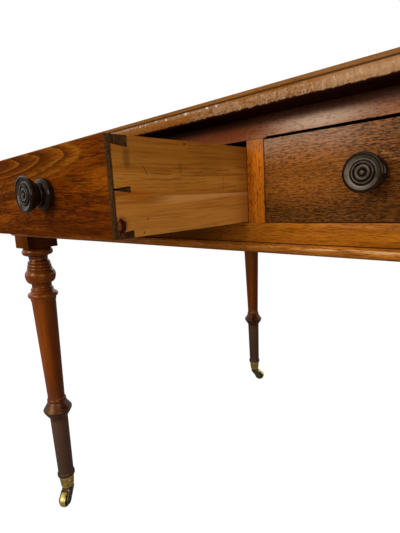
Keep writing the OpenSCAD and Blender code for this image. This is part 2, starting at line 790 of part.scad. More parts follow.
module fork() {
    slot_w = wheel_w + 2 * face_gap;
    horn_w = slot_w + 2 * cheek_t;
    color(BRASS) difference() {
        union() {
            translate([0, 0, collar_top_z - collar_t]) cylinder(h = collar_t, r = collar_r);
            translate([0, 0, collar_top_z - 1]) cylinder(h = cup_base_t + 2 * face_gap + 1, r = pivot_r);
            translate([0, 0, cup_floor_z + face_gap]) cylinder(h = rivet_t, r = rivet_r);
            translate([0, -horn_w / 2, 0]) along_y(horn_w) horn_shape();
        }
        translate([trail, 0, wheel_r]) rotate([90, 0, 0]) {
            cylinder(h = slot_w, r = wheel_r + wheel_room, center = true);
            cylinder(h = horn_w + 2, r = axle_r, center = true);
        }
        translate([-collar_r, -slot_w / 2, 0]) cube([collar_r + trail, slot_w, wheel_r + cheek_r]);
    }
}

module wheel() {
    groove_w = wheel_w / 2 - 2;
    color(BRASS) translate([trail, 0, wheel_r]) rotate([90, 0, 0]) rotate_extrude()
        polygon(concat(
            [[axle_r + turn_gap, -wheel_w / 2], [axle_r + 3, -wheel_w / 2], [axle_r + 3.4, -groove_w]],
            [[wheel_r - 3.4, -groove_w], [wheel_r - 3, -wheel_w / 2 + 0.6]],
            [
                for (i = [-5 : 5]) [
                    wheel_r - 1.8 * pow(abs(i / 5), 3),
                    (wheel_w / 2 - 0.6) * i / 5
                ]
            ],
            [[wheel_r - 3, wheel_w / 2 - 0.6], [wheel_r - 3.4, groove_w]],
            [[axle_r + 3.4, groove_w], [axle_r + 3, wheel_w / 2], [axle_r + turn_gap, wheel_w / 2]]
        ));
}

module axle() {
    half = wheel_w / 2 + face_gap + cheek_t;
    color(BRASS) translate([trail, 0, wheel_r]) rotate([90, 0, 0]) union() {
        cylinder(h = 2 * half, r = axle_r, center = true);
        for (z0 = [-half - 1.2, half]) translate([0, 0, z0]) cylinder(h = 1.2, r = axle_r + 1.4);
    }
}

// A castor's own place under a leg, turned round its pivot
module under_leg(x, y, turn) in_place() translate([x, y, 0]) rotate([0, 0, turn]) children();

module front_left_castor() under_leg(-leg_x, leg_front_y, front_left_turn) children();
module front_right_castor() under_leg(leg_x, leg_front_y, front_right_turn) children();
module back_left_castor() under_leg(-leg_x, leg_back_y, back_left_turn) children();
module back_right_castor() under_leg(leg_x, leg_back_y, back_right_turn) children();

module cup_front_left() cup(-leg_x, leg_front_y);
module cup_front_right() cup(leg_x, leg_front_y);
module cup_back_left() cup(-leg_x, leg_back_y);
module cup_back_right() cup(leg_x, leg_back_y);
module fork_front_left() front_left_castor() fork();
module fork_front_right() front_right_castor() fork();
module fork_back_left() back_left_castor() fork();
module fork_back_right() back_right_castor() fork();
module wheel_front_left() front_left_castor() wheel();
module wheel_front_right() front_right_castor() wheel();
module wheel_back_left() back_left_castor() wheel();
module wheel_back_right() back_right_castor() wheel();
module axle_front_left() front_left_castor() axle();
module axle_front_right() front_right_castor() axle();
module axle_back_left() back_left_castor() axle();
module axle_back_right() back_right_castor() axle();

top_board_front();
top_board_back();
leg_front_left();
leg_front_right();
leg_back_left();
leg_back_right();
front_top_rail();
front_bottom_rail();
front_divider();
side_rail_left();
side_rail_right();
back_rail();
bead_front();
bead_back();
bead_left();
bead_right();
runner_left();
runner_centre();
runner_right();
kicker_left();
kicker_centre();
kicker_right();
guide_left();
guide_centre();
guide_right();
drawer_stops();
top_buttons();
top_screws();
castor_screws();
left_drawer_front();
left_drawer_side_outer();
left_drawer_side_inner();
left_drawer_back();
left_drawer_bottom();
left_knob_outer();
left_knob_inner();
right_drawer_front();
right_drawer_side_outer();
right_drawer_side_inner();
right_drawer_back();
right_drawer_bottom();
right_knob_outer();
right_knob_inner();
cup_front_left();
cup_front_right();
cup_back_left();
cup_back_right();
fork_front_left();
fork_front_right();
fork_back_left();
fork_back_right();
wheel_front_left();
wheel_front_right();
wheel_back_left();
wheel_back_right();
axle_front_left();
axle_front_right();
axle_back_left();
axle_back_right();
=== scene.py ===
import bpy
import json
import math
from mathutils import Matrix, Vector


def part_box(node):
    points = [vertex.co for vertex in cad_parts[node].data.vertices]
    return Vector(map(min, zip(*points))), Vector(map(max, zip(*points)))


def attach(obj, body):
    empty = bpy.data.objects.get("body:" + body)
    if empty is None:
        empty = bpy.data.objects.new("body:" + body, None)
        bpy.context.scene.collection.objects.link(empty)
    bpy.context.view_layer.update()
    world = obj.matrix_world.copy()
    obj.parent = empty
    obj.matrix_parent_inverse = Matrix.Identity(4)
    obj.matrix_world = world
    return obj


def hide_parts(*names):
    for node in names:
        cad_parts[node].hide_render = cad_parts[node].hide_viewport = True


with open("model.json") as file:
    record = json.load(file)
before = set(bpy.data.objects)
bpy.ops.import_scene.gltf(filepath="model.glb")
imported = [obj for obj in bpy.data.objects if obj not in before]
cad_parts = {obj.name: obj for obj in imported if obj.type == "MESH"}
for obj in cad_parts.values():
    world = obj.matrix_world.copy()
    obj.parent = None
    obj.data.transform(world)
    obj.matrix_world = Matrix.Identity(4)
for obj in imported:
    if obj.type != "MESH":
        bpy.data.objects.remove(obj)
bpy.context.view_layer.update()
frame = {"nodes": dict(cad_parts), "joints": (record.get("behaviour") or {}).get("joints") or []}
print("Frame loaded,", len(frame["nodes"]), "nodes")


# Small helpers for selecting, finishing and naming

def clearSelection():
    if bpy.context.object and bpy.context.object.mode != "OBJECT":
        bpy.ops.object.mode_set(mode="OBJECT")
    bpy.ops.object.select_all(action="DESELECT")


def pickPiece(piece):
    clearSelection()
    piece.select_set(True)
    bpy.context.view_layer.objects.active = piece


def bodyOf(node):
    corner = node.split("_", 1)[1]
    if node.startswith(("fork_", "axle_")):
        return "fork_" + corner
    if node.startswith("wheel_"):
        return node
    if node.startswith(("left_drawer", "left_knob")):
        return "left_drawer"
    if node.startswith(("right_drawer", "right_knob")):
        return "right_drawer"
    return "table"


def standFor(piece, node, materials):
    # the piece takes the place of a node of the frame
    for material in materials:
        piece.data.materials.append(material)
    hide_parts(node)
    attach(piece, bodyOf(node))


def smoothFaces(piece, degrees):
    pickPiece(piece)
    bpy.ops.object.shade_smooth_by_angle(angle=math.radians(degrees))


def copyNode(node):
    source = bpy.data.objects[node]
    piece = bpy.data.objects.new(node + "_shaped", source.data.copy())
    bpy.context.collection.objects.link(piece)
    piece.data.materials.clear()
    pickPiece(piece)
    bpy.ops.object.mode_set(mode="EDIT")
    bpy.ops.mesh.select_all(action="SELECT")
    bpy.ops.mesh.remove_doubles(threshold=0.00001)
    bpy.ops.mesh.dissolve_limited(angle_limit=math.radians(0.5))
    bpy.ops.object.mode_set(mode="OBJECT")
    return piece


def chooseWhere(piece, kind, test):
    # selects the vertices or edges that pass a test, then enters edit mode
    pickPiece(piece)
    bpy.ops.object.mode_set(mode="EDIT")
    bpy.ops.mesh.select_mode(type=kind)
    bpy.ops.mesh.select_all(action="DESELECT")
    bpy.ops.object.mode_set(mode="OBJECT")
    items = {"VERT": piece.data.vertices, "EDGE": piece.data.edges}[kind]
    for item in items:
        item.select = test(item)
    bpy.ops.object.mode_set(mode="EDIT")


def edgeSpan(piece, edge):
    first, second = [piece.data.vertices[index].co for index in edge.vertices]
    return first - second


def easeEdges(piece, width, shortest):
    # rounds the sharp edges that are long enough, and marks them as worn
    pickPiece(piece)
    bpy.ops.object.mode_set(mode="EDIT")
    bpy.ops.mesh.select_mode(type="EDGE")
    bpy.ops.mesh.select_all(action="DESELECT")
    bpy.ops.mesh.edges_select_sharp(sharpness=math.radians(30))
    bpy.ops.object.mode_set(mode="OBJECT")
    for edge in piece.data.edges:
        edge.select = edge.select and edgeSpan(piece, edge).length > shortest
    bpy.ops.object.mode_set(mode="EDIT")
    bpy.ops.mesh.bevel(offset=width, segments=2, profile=0.6, material=1, clamp_overlap=False)
    bpy.ops.object.mode_set(mode="OBJECT")
    smoothFaces(piece, 28)


def swell(low, high, startRadius, endRadius, rise, count=12):
    # points along a turned swelling, or a hollow where rise is negative
    points = []
    for step in range(count + 1):
        angle = math.pi * step / count
        radius = startRadius + (endRadius - startRadius) * step / count + rise * math.sin(angle)
        points.append((radius, low + (high - low) * (1 - math.cos(angle)) / 2))
    return points


def straight(start, end, count):
    # points along a straight line of an outline, from its start to its end
    radius, height = start
    widen, rise = (end[0] - radius) / count, (end[1] - height) / count
    return [(radius + widen * step, height + rise * step) for step in range(count + 1)]


def turnOutline(name, outline, steps):
    # an outline in millimetres, as (radius, height), spun round Z
    clearSelection()
    bpy.ops.mesh.primitive_plane_add(size=0.001, location=(0, 0, 0))
    piece = bpy.context.active_object
    piece.name = name
    bpy.ops.object.mode_set(mode="EDIT")
    bpy.ops.mesh.select_mode(type="VERT")
    bpy.ops.mesh.select_all(action="SELECT")
    bpy.ops.mesh.merge(type="CENTER")
    bpy.ops.transform.translate(value=(outline[0][0] / 1000, 0, outline[0][1] / 1000))
    for before, after in zip(outline, outline[1:]):
        move = ((after[0] - before[0]) / 1000, 0, (after[1] - before[1]) / 1000)
        bpy.ops.mesh.extrude_vertices_move(TRANSFORM_OT_translate={"value": move})
    bpy.ops.mesh.select_all(action="SELECT")
    bpy.ops.mesh.spin(steps=steps, angle=2 * math.pi, center=(0, 0, 0), axis=(0, 0, 1))
    bpy.ops.mesh.select_all(action="SELECT")
    bpy.ops.mesh.remove_doubles(threshold=0.000002)
    bpy.ops.mesh.normals_make_consistent(inside=False)
    bpy.ops.object.mode_set(mode="OBJECT")
    return piece


def putInPlace(piece, spot, turn=(0, 0, 0)):
    pickPiece(piece)
    piece.rotation_euler = turn
    piece.location = spot
    bpy.ops.object.transform_apply(location=True, rotation=True, scale=True)


def copyPiece(piece, name):
    twin = bpy.data.objects.new(name, piece.data.copy())
    bpy.context.collection.objects.link(twin)
    return twin


# Camera, at the photograph's angle

cameraSetup = {
    "spot": (0.20255, -0.61519, 0.64989),
    "yaw": 43.347,
    "pitch": 10.186,
    "roll": -3.079,
    "focal": 377.84,  # in pixels of the photograph
    "longSide": 533,
    "sensor": 36.0,
    "nearest": 0.02,
}


def placeCamera(setup):
    lens = bpy.data.cameras.new("Camera")
    lens.sensor_width = setup["sensor"]
    lens.lens = setup["focal"] * setup["sensor"] / setup["longSide"]
    lens.clip_start = setup["nearest"]
    camera = bpy.data.objects.new("Camera", lens)
    bpy.context.collection.objects.link(camera)
    turn = Matrix.Rotation(math.radians(setup["yaw"]), 4, "Z")
    tilt = Matrix.Rotation(math.radians(90 - setup["pitch"]), 4, "X")
    roll = Matrix.Rotation(math.radians(setup["roll"]), 4, "Z")
    camera.matrix_world = Matrix.Translation(setup["spot"]) @ turn @ tilt @ roll
    bpy.context.scene.camera = camera


placeCamera(cameraSetup)
print("Camera placed")


# Light, world and floor

lampSetup = {
    "Key": {"spot": (-0.35, -2.7, 1.45), "size": 1.4, "power": 43, "aim": (0.0, 0.0, 0.5)},
    "Side": {"spot": (2.5, -1.0, 1.2), "size": 1.6, "power": 27, "aim": (0.0, 0.0, 0.5)},
    "Back": {"spot": (-1.5, 2.2, 2.2), "size": 1.6, "power": 8, "aim": (0.0, 0.2, 0.5)},
}
worldSetup = {"level": 0.22, "tint": (1.0, 0.99, 0.97, 1.0)}
floorSetup = {
    "size": 14,
    "lit": (0.4, 0.4, 0.395, 1.0),  # how it lights the table
    "seen": (0.8, 0.8, 0.79, 1.0),  # and how the camera sees it
    "glow": 1.2,
    "glowShare": 0.8,
}
pureWhite = (1.0, 1.0, 1.0, 1.0)


def placeLamps(setup):
    for name, values in setup.items():
        data = bpy.data.lights.new(name, "AREA")
        data.size = values["size"]
        data.energy = values["power"]
        lamp = bpy.data.objects.new(name, data)
        lamp.location = values["spot"]
        aim = Vector(values["aim"]) - Vector(values["spot"])
        lamp.rotation_euler = aim.to_track_quat("-Z", "Y").to_euler()
        bpy.context.collection.objects.link(lamp)


def lightWorld(setup):
    # the camera and reflections see plain white, and only the rest of the light is dimmed
    world = bpy.data.worlds.new("Studio")
    bpy.context.scene.world = world
    world.use_nodes = True
    tree = world.node_tree
    tree.nodes.clear()
    rays = tree.nodes.new("ShaderNodeLightPath")
    seen = tree.nodes.new("ShaderNodeMath")
    seen.operation = "MAXIMUM"
    tree.links.new(rays.outputs["Is Camera Ray"], seen.inputs[0])
    tree.links.new(rays.outputs["Is Transmission Ray"], seen.inputs[1])
    mirrored = tree.nodes.new("ShaderNodeMath")
    mirrored.operation = "MAXIMUM"
    tree.links.new(seen.outputs[0], mirrored.inputs[0])
    tree.links.new(rays.outputs["Is Glossy Ray"], mirrored.inputs[1])
    ambient = tree.nodes.new("ShaderNodeBackground")
    ambient.inputs["Color"].default_value = setup["tint"]
    ambient.inputs["Strength"].default_value = setup["level"]
    white = tree.nodes.new("ShaderNodeBackground")
    white.inputs["Color"].default_value = pureWhite
    white.inputs["Strength"].default_value = 1.0
    mix = tree.nodes.new("ShaderNodeMixShader")
    tree.links.new(mirrored.outputs[0], mix.inputs[0])
    tree.links.new(ambient.outputs[0], mix.inputs[1])
    tree.links.new(white.outputs[0], mix.inputs[2])
    output = tree.nodes.new("ShaderNodeOutputWorld")
    tree.links.new(mix.outputs[0], output.inputs["Surface"])


def layFloor(setup):
    # a floor that glows towards the camera, so that it stays nearly white round soft shadows
    clearSelection()
    bpy.ops.mesh.primitive_plane_add(size=setup["size"], location=(0, 0, 0))
    floor = bpy.context.active_object
    floor.name = "Floor"
    material = bpy.data.materials.new("Floor")
    material.use_nodes = True
    tree = material.node_tree
    tree.nodes.clear()
    rays = tree.nodes.new("ShaderNodeLightPath")
    matt = tree.nodes.new("ShaderNodeBsdfDiffuse")
    tone = tree.nodes.new("ShaderNodeMix")
    tone.data_type = "RGBA"
    tone.inputs[6].default_value = setup["lit"]
    tone.inputs[7].default_value = setup["seen"]
    tree.links.new(rays.outputs["Is Camera Ray"], tone.inputs["Factor"])
    tree.links.new(tone.outputs[2], matt.inputs["Color"])
    glow = tree.nodes.new("ShaderNodeEmission")
    glow.inputs["Color"].default_value = pureWhite
    glow.inputs["Strength"].default_value = setup["glow"]
    share = tree.nodes.new("ShaderNodeMath")
    share.operation = "MULTIPLY"
    share.inputs[1].default_value = setup["glowShare"]
    tree.links.new(rays.outputs["Is Camera Ray"], share.inputs[0])
    mix = tree.nodes.new("ShaderNodeMixShader")
    tree.links.new(share.outputs[0], mix.inputs[0])
    tree.links.new(matt.outputs[0], mix.inputs[1])
    tree.links.new(glow.outputs[0], mix.inputs[2])
    output = tree.nodes.new("ShaderNodeOutputMaterial")
    tree.links.new(mix.outputs[0], output.inputs["Surface"])
    floor.data.materials.append(material)


placeLamps(lampSetup)
lightWorld(worldSetup)
layFloor(floorSetup)
bpy.context.scene.view_settings.view_transform = "Standard"
print("Light and floor set")


# Building blocks for the materials

def paint(red, green, blue):
    # a colour written as on screen, from 0 to 255
    channels = []
    for value in (red, green, blue):
        share = value / 255
        channels.append(share / 12.92 if share <= 0.04045 else ((share + 0.055) / 1.055) ** 2.4)
    return (*channels, 1.0)


def startMaterial(name):
    material = bpy.data.materials.new(name)
    material.use_nodes = True
    tree = material.node_tree
    place = tree.nodes.new("ShaderNodeTexCoord").outputs["Object"]
    return {"material": material, "tree": tree, "shader": tree.nodes["Principled BSDF"], "place": place}


def feed(kit, value, socket):
    if isinstance(value, bpy.types.NodeSocket):
        kit["tree"].links.new(value, socket)
    else:
        socket.default_value = value


def calc(kit, operation, first, second=0.0):
    node = kit["tree"].nodes.new("ShaderNodeMath")
    node.operation = operation
    feed(kit, first, node.inputs[0])
    feed(kit, second, node.inputs[1])
    return node.outputs[0]


def plus(kit, *values):
    total = values[0]
    for value in values[1:]:
        total = calc(kit, "ADD", total, value)
    return total


def minus(kit, first, second):
    return calc(kit, "SUBTRACT", first, second)


def times(kit, *values):
    product = values[0]
    for value in values[1:]:
        product = calc(kit, "MULTIPLY", product, value)
    return product


def gapTo(kit, value, spot):
    return calc(kit, "ABSOLUTE", minus(kit, value, spot))


def roundDistance(kit, first, second):
    return calc(kit, "SQRT", plus(kit, times(kit, first, first), times(kit, second, second)))


def fade(kit, value, start, end, low=0.0, high=1.0):
    # goes softly from low, where the value is at its start, to high, where it is at its end
    node = kit["tree"].nodes.new("ShaderNodeMapRange")
    node.interpolation_type = "SMOOTHSTEP"
    settings = {"Value": value, "From Min": start, "From Max": end, "To Min": low, "To Max": high}
    for socket, given in settings.items():
        feed(kit, given, node.inputs[socket])
    return node.outputs["Result"]


def between(kit, value, start, full, fading, end):
    # 1 between the two middle values and 0 beyond the outer two
    return times(kit, fade(kit, value, start, full), fade(kit, value, end, fading))


def mottle(kit, scale, detail=3.0, roughness=0.55, distortion=0.0, shift=(0.0, 0.0, 0.0), source=None):
    # an uneven pattern, stretched along each axis by its own scale
    stretch = kit["tree"].nodes.new("ShaderNodeMapping")
    stretch.inputs["Location"].default_value = shift
    stretch.inputs["Scale"].default_value = scale
    feed(kit, source or kit["place"], stretch.inputs["Vector"])
    noise = kit["tree"].nodes.new("ShaderNodeTexNoise")
    settings = {"Scale": 1.0, "Detail": detail, "Roughness": roughness, "Distortion": distortion}
    for socket, given in settings.items():
        noise.inputs[socket].default_value = given
    feed(kit, stretch.outputs["Vector"], noise.inputs["Vector"])
    return noise.outputs["Fac"]


def waver(kit, value, amount, pattern, source=None):
    # the value, moved unevenly by up to an amount
    return plus(kit, value, times(kit, mottle(kit, *pattern, source=source), amount))


def colourSteps(kit, value, stops):
    node = kit["tree"].nodes.new("ShaderNodeValToRGB")
    band = node.color_ramp
    while len(band.elements) < len(stops):
        band.elements.new(0.5)
    for element, (position, colour) in zip(band.elements, stops):
        element.position = position
        element.color = paint(*colour)
    feed(kit, value, node.inputs["Fac"])
    return node.outputs["Color"]


def splitPlace(kit, source=None):
    node = kit["tree"].nodes.new("ShaderNodeSeparateXYZ")
    feed(kit, source or kit["place"], node.inputs[0])
    return node.outputs[0], node.outputs[1], node.outputs[2]


def joinPlace(kit, x, y, z):
    node = kit["tree"].nodes.new("ShaderNodeCombineXYZ")
    for socket, value in zip(node.inputs, (x, y, z)):
        feed(kit, value, socket)
    return node.outputs[0]


def alongEdge(kit, x, y, z):
    # a place on a moulding: how far along it lies, whether it runs in X or in Y, and how high
    return joinPlace(kit, plus(kit, x, y), 0.0, z)


def alongGrain(grain, lengthwise, across):
    return tuple(lengthwise if letter == grain else across for letter in "XYZ")


def nearSpot(kit, first, second, firstSpot, secondSpot, firstSize, secondSize, ragged):
    # 0 at a spot, 1 on the oval round it
    across = calc(kit, "DIVIDE", minus(kit, first, firstSpot), firstSize)
    along = calc(kit, "DIVIDE", minus(kit, second, secondSpot), secondSize)
    uneven = minus(kit, mottle(kit, (400.0, 400.0, 400.0)), 0.5)
    return plus(kit, roundDistance(kit, across, along), times(kit, uneven, ragged))


def addLayer(kit, share, colour):
    if isinstance(colour, tuple):
        colour = paint(*colour)
    node = kit["tree"].nodes.new("ShaderNodeMix")
    node.data_type = "RGBA"
    feed(kit, share, node.inputs["Factor"])
    feed(kit, kit["colour"], node.inputs[6])
    feed(kit, colour, node.inputs[7])
    kit["colour"] = node.outputs[2]


def layTone(kit, value, tone, mask=1.0):
    # a tone gives the value where it begins, the value where it is full, its share and its colour
    start, end, share, colour = tone
    addLayer(kit, times(kit, fade(kit, value, start, end, 0.0, share), mask), colour)


def addFlecks(kit, share):
    addLayer(kit, times(kit, kit["flecks"], share), kit["look"]["fleckColour"])


def raiseBump(kit, height, strength, depth):
    bump = kit["tree"].nodes.new("ShaderNodeBump")
    bump.inputs["Strength"].default_value = strength
    bump.inputs["Distance"].default_value = depth
    feed(kit, height, bump.inputs["Height"])
    feed(kit, bump.outputs[0], kit["shader"].inputs["Normal"])


# Wood: soft bands of colour, then lines, fibres and dark flecks along the grain

woodDefaults = {
    "wander": 0.01,  # how far the grain sways
    "driftShare": 0.5,
    "lines": (11.0, 380.0),
    "lineShare": 0.5,
    "fibreShare": 0.45,
    "fleckLimit": 0.58,
    "fleckBlur": 0.08,
    "fleckShare": 0.6,
    "gloss": (0.3, 0.42),
    "coat": 0.04,
    "shine": 0.0,
    "tint": (1.0, 1.0, 1.0, 1.0),
    "relief": 0.25,
}
woodPatterns = {
    # scale along and across the grain, detail and roughness of the pattern, shift
    "sway": ((5.0, 18.0), 2.0, 0.55, (0.0, 0.0, 0.0)),
    "drift": ((6.0, 16.0), 2.0, 0.55, (3.1, 1.7, 5.3)),
    "fibres": ((32.0, 850.0), 4.0, 0.7, (0.0, 0.0, 0.0)),
    # for these three the wood's own look gives the scale
    "bands": (4.0, 0.6, (0.0, 0.0, 0.0)),
    "lines": (3.0, 0.6, (2.0, 8.0, 6.0)),
    "flecks": (2.0, 0.6, (7.0, 2.0, 4.0)),
}
woodEdges = {
    # where in the pattern of the bands the three tones lie
    "dark": 0.34,
    "mid": 0.5,
    "light": 0.66,
    # from where to where in its own pattern a layer, or the roughness, grows
    "drift": (0.42, 0.66),
    "lines": (0.5, 0.64),
    "fibres": (0.45, 0.62),
    "gloss": (0.3, 0.7),
}
woodSurface = {"fibreHeight": 0.6, "bumpDepth": 0.0004, "coatRoughness": 0.18}


def grainPattern(kit, scale, detail, roughness, shift, source=None):
    stretched = alongGrain(kit["look"]["grain"], *scale)
    return mottle(kit, stretched, detail, roughness, 0.0, shift, source or kit["grained"])


def startWood(name, look):
    kit = startMaterial(name)
    look = dict(woodDefaults, **look)
    kit["look"] = look
    sway = grainPattern(kit, *woodPatterns["sway"], kit["place"])
    moved = kit["tree"].nodes.new("ShaderNodeVectorMath")
    feed(kit, kit["place"], moved.inputs[0])
    feed(kit, times(kit, minus(kit, sway, 0.5), look["wander"]), moved.inputs[1])
    kit["grained"] = moved.outputs[0]
    bands = grainPattern(kit, look["bands"], *woodPatterns["bands"])
    tones = [(woodEdges[tone], look[tone]) for tone in ("dark", "mid", "light")]
    kit["colour"] = colourSteps(kit, bands, tones)
    drift = grainPattern(kit, *woodPatterns["drift"], kit["place"])
    addLayer(kit, fade(kit, drift, *woodEdges["drift"], 0.0, look["driftShare"]), look["drift"])
    lines = grainPattern(kit, look["lines"], *woodPatterns["lines"])
    kit["lines"] = fade(kit, lines, *woodEdges["lines"])
    addLayer(kit, times(kit, kit["lines"], look["lineShare"]), look["dark"])
    kit["fibres"] = grainPattern(kit, *woodPatterns["fibres"])
    addLayer(kit, fade(kit, kit["fibres"], *woodEdges["fibres"], 0.0, look["fibreShare"]), look["dark"])
    flecks = grainPattern(kit, look["flecks"], *woodPatterns["flecks"])
    kit["flecks"] = fade(kit, flecks, look["fleckLimit"], look["fleckLimit"] + look["fleckBlur"])
    addFlecks(kit, look["fleckShare"])
    # added to the roughness and to the height of the surface
    kit["dull"] = 0.0
    kit["height"] = 0.0
    return kit


def sealWood(kit):
    look, shader = kit["look"], kit["shader"]
    feed(kit, kit["colour"], shader.inputs["Base Color"])
    rough = fade(kit, kit["fibres"], *woodEdges["gloss"], *look["gloss"])
    feed(kit, plus(kit, rough, kit["dull"]), shader.inputs["Roughness"])
    shader.inputs["Specular IOR Level"].default_value = look["shine"]
    shader.inputs["Specular Tint"].default_value = look["tint"]
    shader.inputs["Coat Weight"].default_value = look["coat"]
    shader.inputs["Coat Roughness"].default_value = woodSurface["coatRoughness"]
    height = minus(kit, times(kit, kit["fibres"], woodSurface["fibreHeight"]), kit["flecks"])
    raiseBump(kit, plus(kit, height, kit["height"]), look["relief"], woodSurface["bumpDepth"])
    return kit["material"]


# Looks of the woods

frameLook = {
    "grain": "X",
    "dark": (142, 90, 60),
    "mid": (172, 118, 82),
    "light": (192, 146, 110),
    "bands": (4.0, 60.0),
    "lineShare": 0.3,
    "flecks": (260.0, 900.0),
    "fleckLimit": 0.5,
    "fleckBlur": 0.16,
    "fleckShare": 0.6,
    "fleckColour": (84, 44, 24),
    "drift": (146, 84, 50),
}
bottomLook = {
    "grain": "X",
    "dark": (144, 77, 12),
    "mid": (180, 104, 23),
    "light": (202, 127, 40),
    "bands": (4.0, 130.0),
    "lineShare": 0.35,
    "flecks": (130.0, 1500.0),
    "fleckLimit": 0.53,
    "fleckColour": (88, 42, 8),
    "fleckShare": 0.6,
    "drift": (178, 102, 22),
}
dividerLook = dict(
    bottomLook, grain="Z", dark=(180, 92, 14), mid=(220, 121, 25), light=(238, 142, 38),
    flecks=(170.0, 620.0), fleckLimit=0.54, fleckColour=(100, 42, 8), fleckShare=0.7,
)
beadLook = dict(bottomLook, dark=(144, 78, 18), mid=(180, 102, 24), light=(202, 124, 38))
# near black, for the eased edges of the rails: painted shade along them
darkEdgeLook = dict(frameLook, dark=(16, 8, 4), mid=(26, 13, 8), light=(44, 24, 14))
rightFrontLook = {
    "grain": "X",
    "dark": (98, 54, 19),
    "mid": (132, 75, 26),
    "light": (154, 92, 35),
    "bands": (6.0, 26.0),
    "lineShare": 0.15,
    "fibreShare": 0.2,
    "flecks": (235.0, 1250.0),
    "fleckLimit": 0.475,
    "fleckBlur": 0.09,
    "fleckColour": (48, 25, 10),
    "fleckShare": 0.85,
    "coat": 0.02,
    "drift": (164, 96, 32),
    "driftShare": 0.35,
}
leftFrontLook = {
    "grain": "X",
    "dark": (86, 35, 1),
    "mid": (114, 52, 2),
    "light": (134, 65, 3),
    "bands": (5.0, 110.0),
    "coat": 0.02,
    "flecks": (90.0, 900.0),
    "fleckLimit": 0.52,
    "fleckColour": (58, 23, 2),
    "fleckShare": 0.6,
    "drift": (106, 44, 2),
}
endGrainLook = dict(
    leftFrontLook, grain="Z", dark=(54, 32, 14), mid=(80, 50, 26), light=(106, 72, 42),
    flecks=(400.0, 900.0), fleckColour=(34, 18, 8), drift=(94, 66, 40), gloss=(0.55, 0.7), coat=0.0,
)
topLook = {
    "grain": "X",
    "dark": (112, 66, 28),
    "mid": (150, 96, 48),
    "light": (172, 118, 66),
    "bands": (4.0, 70.0),
    "flecks": (120.0, 800.0),
    "fleckLimit": 0.6,
    "fleckColour": (70, 38, 16),
    "drift": (132, 80, 40),
    "relief": 0.4,
}
legLook = {
    "grain": "Z",
    "dark": (90, 34, 2),
    "mid": (126, 54, 4),
    "light": (152, 72, 8),
    "bands": (3.0, 40.0),
    "lineShare": 0.25,
    "fibreShare": 0.2,
    "flecks": (110.0, 800.0),
    "fleckLimit": 0.64,
    "fleckColour": (58, 24, 8),
    "fleckShare": 0.4,
    "gloss": (0.2, 0.28),
    "coat": 0.0,
    "shine": 0.52,
    "tint": (1.0, 0.52, 0.22, 1.0),
    "relief": 0.06,
    "drift": (98, 44, 14),
}
blockFrontLook = dict(
    legLook, dark=(84, 38, 4), mid=(112, 56, 8), light=(132, 70, 14), drift=(104, 48, 4),
    coat=0.05, shine=0.0,
)
# painted shade: a darker copy of the block's wood, for its sides
shadedBlockSideLook = dict(
    legLook, dark=(52, 20, 4), mid=(76, 34, 8), light=(94, 44, 12), drift=(64, 28, 6),
    coat=0.05, shine=0.0,
)
pineLook = {
    "grain": "Y",
    "dark": (166, 100, 32),
    "mid": (182, 115, 41),
    "light": (194, 130, 54),
    "bands": (4.0, 120.0),
    "wander": 0.008,
    "lines": (7.0, 620.0),
    "lineShare": 0.7,
    "flecks": (30.0, 800.0),
    "fleckLimit": 0.54,
    "fleckColour": (122, 68, 20),
    "fleckShare": 0.6,
    "driftShare": 0.3,
    "gloss": (0.45, 0.6),
    "coat": 0.05,
    "drift": (134, 78, 28),
}
innerLook = dict(
    pineLook, dark=(96, 60, 30), mid=(126, 86, 48), light=(148, 106, 64),
    gloss=(0.6, 0.75), coat=0.0,
)


# Finishes of the pieces

# A tone is (where it begins, where it is full, share, colour), along the axis it is laid on.
# A pattern is (scale along X, Y and Z, detail, roughness, distortion, shift), as far as it is given.

def paintPlain(name, look):
    return sealWood(startWood(name, look))


wornEdgeValues = {"pattern": ((260.0, 260.0, 260.0), 4.0, 0.7), "limit": 0.62, "reach": 0.3, "blur": 0.1}


def paintWornEdge(name, look, bare, share, values=wornEdgeValues):
    # the wood along an arris, rubbed to another colour in places
    kit = startWood(name, look)
    limit = values["limit"] - share * values["reach"]
    layTone(kit, mottle(kit, *values["pattern"]), (limit, limit + values["blur"], 1.0, bare))
    return sealWood(kit)


topRailValues = {
    "glint": (0.060, 0.7065, 0.05, 0.008, 0.2),  # x, z, half width, half height, how ragged
    "glintTone": (1.2, 0.1, 0.85, (224, 188, 158)),
    "redEnd": (0.022, -0.02, 0.8, (128, 60, 26)),
    "shade": (0.7095, 0.7155, 0.8, (40, 20, 12)),
    "shadePattern": ((90.0, 40.0, 160.0),),
    "shadeWaver": 0.002,
    "moreFlecks": 0.3,
    "lineEdge": (0.7002, 0.6998),
    "linePattern": ((60.0, 40.0, 40.0),),
    "lineWaver": -0.0006,
    "lineGrowth": 0.002,
    "lineStart": (0.011, 0.014),
    "lowEdge": (0.6997, 0.6995),
    "paintedGapShade": (8, 4, 2),
}


def paintTopRail(name, look, values):
    kit = startWood(name, look)
    x, y, z = splitPlace(kit)
    # a painted highlight on the rail
    layTone(kit, nearSpot(kit, x, z, *values["glint"]), values["glintTone"])
    layTone(kit, x, values["redEnd"])
    # painted shadow of the top's moulding on the upper part of the rail
    layTone(kit, waver(kit, z, values["shadeWaver"], values["shadePattern"]), values["shade"])
    addFlecks(kit, values["moreFlecks"])
    # painted shade of the gap below: a dark line along the lower edge that grows to the right, and a dark
    # underside
    ragged = waver(kit, z, values["lineWaver"], values["linePattern"])
    ragged = minus(kit, ragged, times(kit, calc(kit, "MAXIMUM", x, 0.0), values["lineGrowth"]))
    line = times(kit, fade(kit, ragged, *values["lineEdge"]), fade(kit, x, *values["lineStart"]))
    line = calc(kit, "MAXIMUM", line, fade(kit, z, *values["lowEdge"]))
    addLayer(kit, line, values["paintedGapShade"])
    return sealWood(kit)


bottomRailValues = {"paintedDrawerShade": (0.0, -0.085, 0.72, (52, 22, 5))}


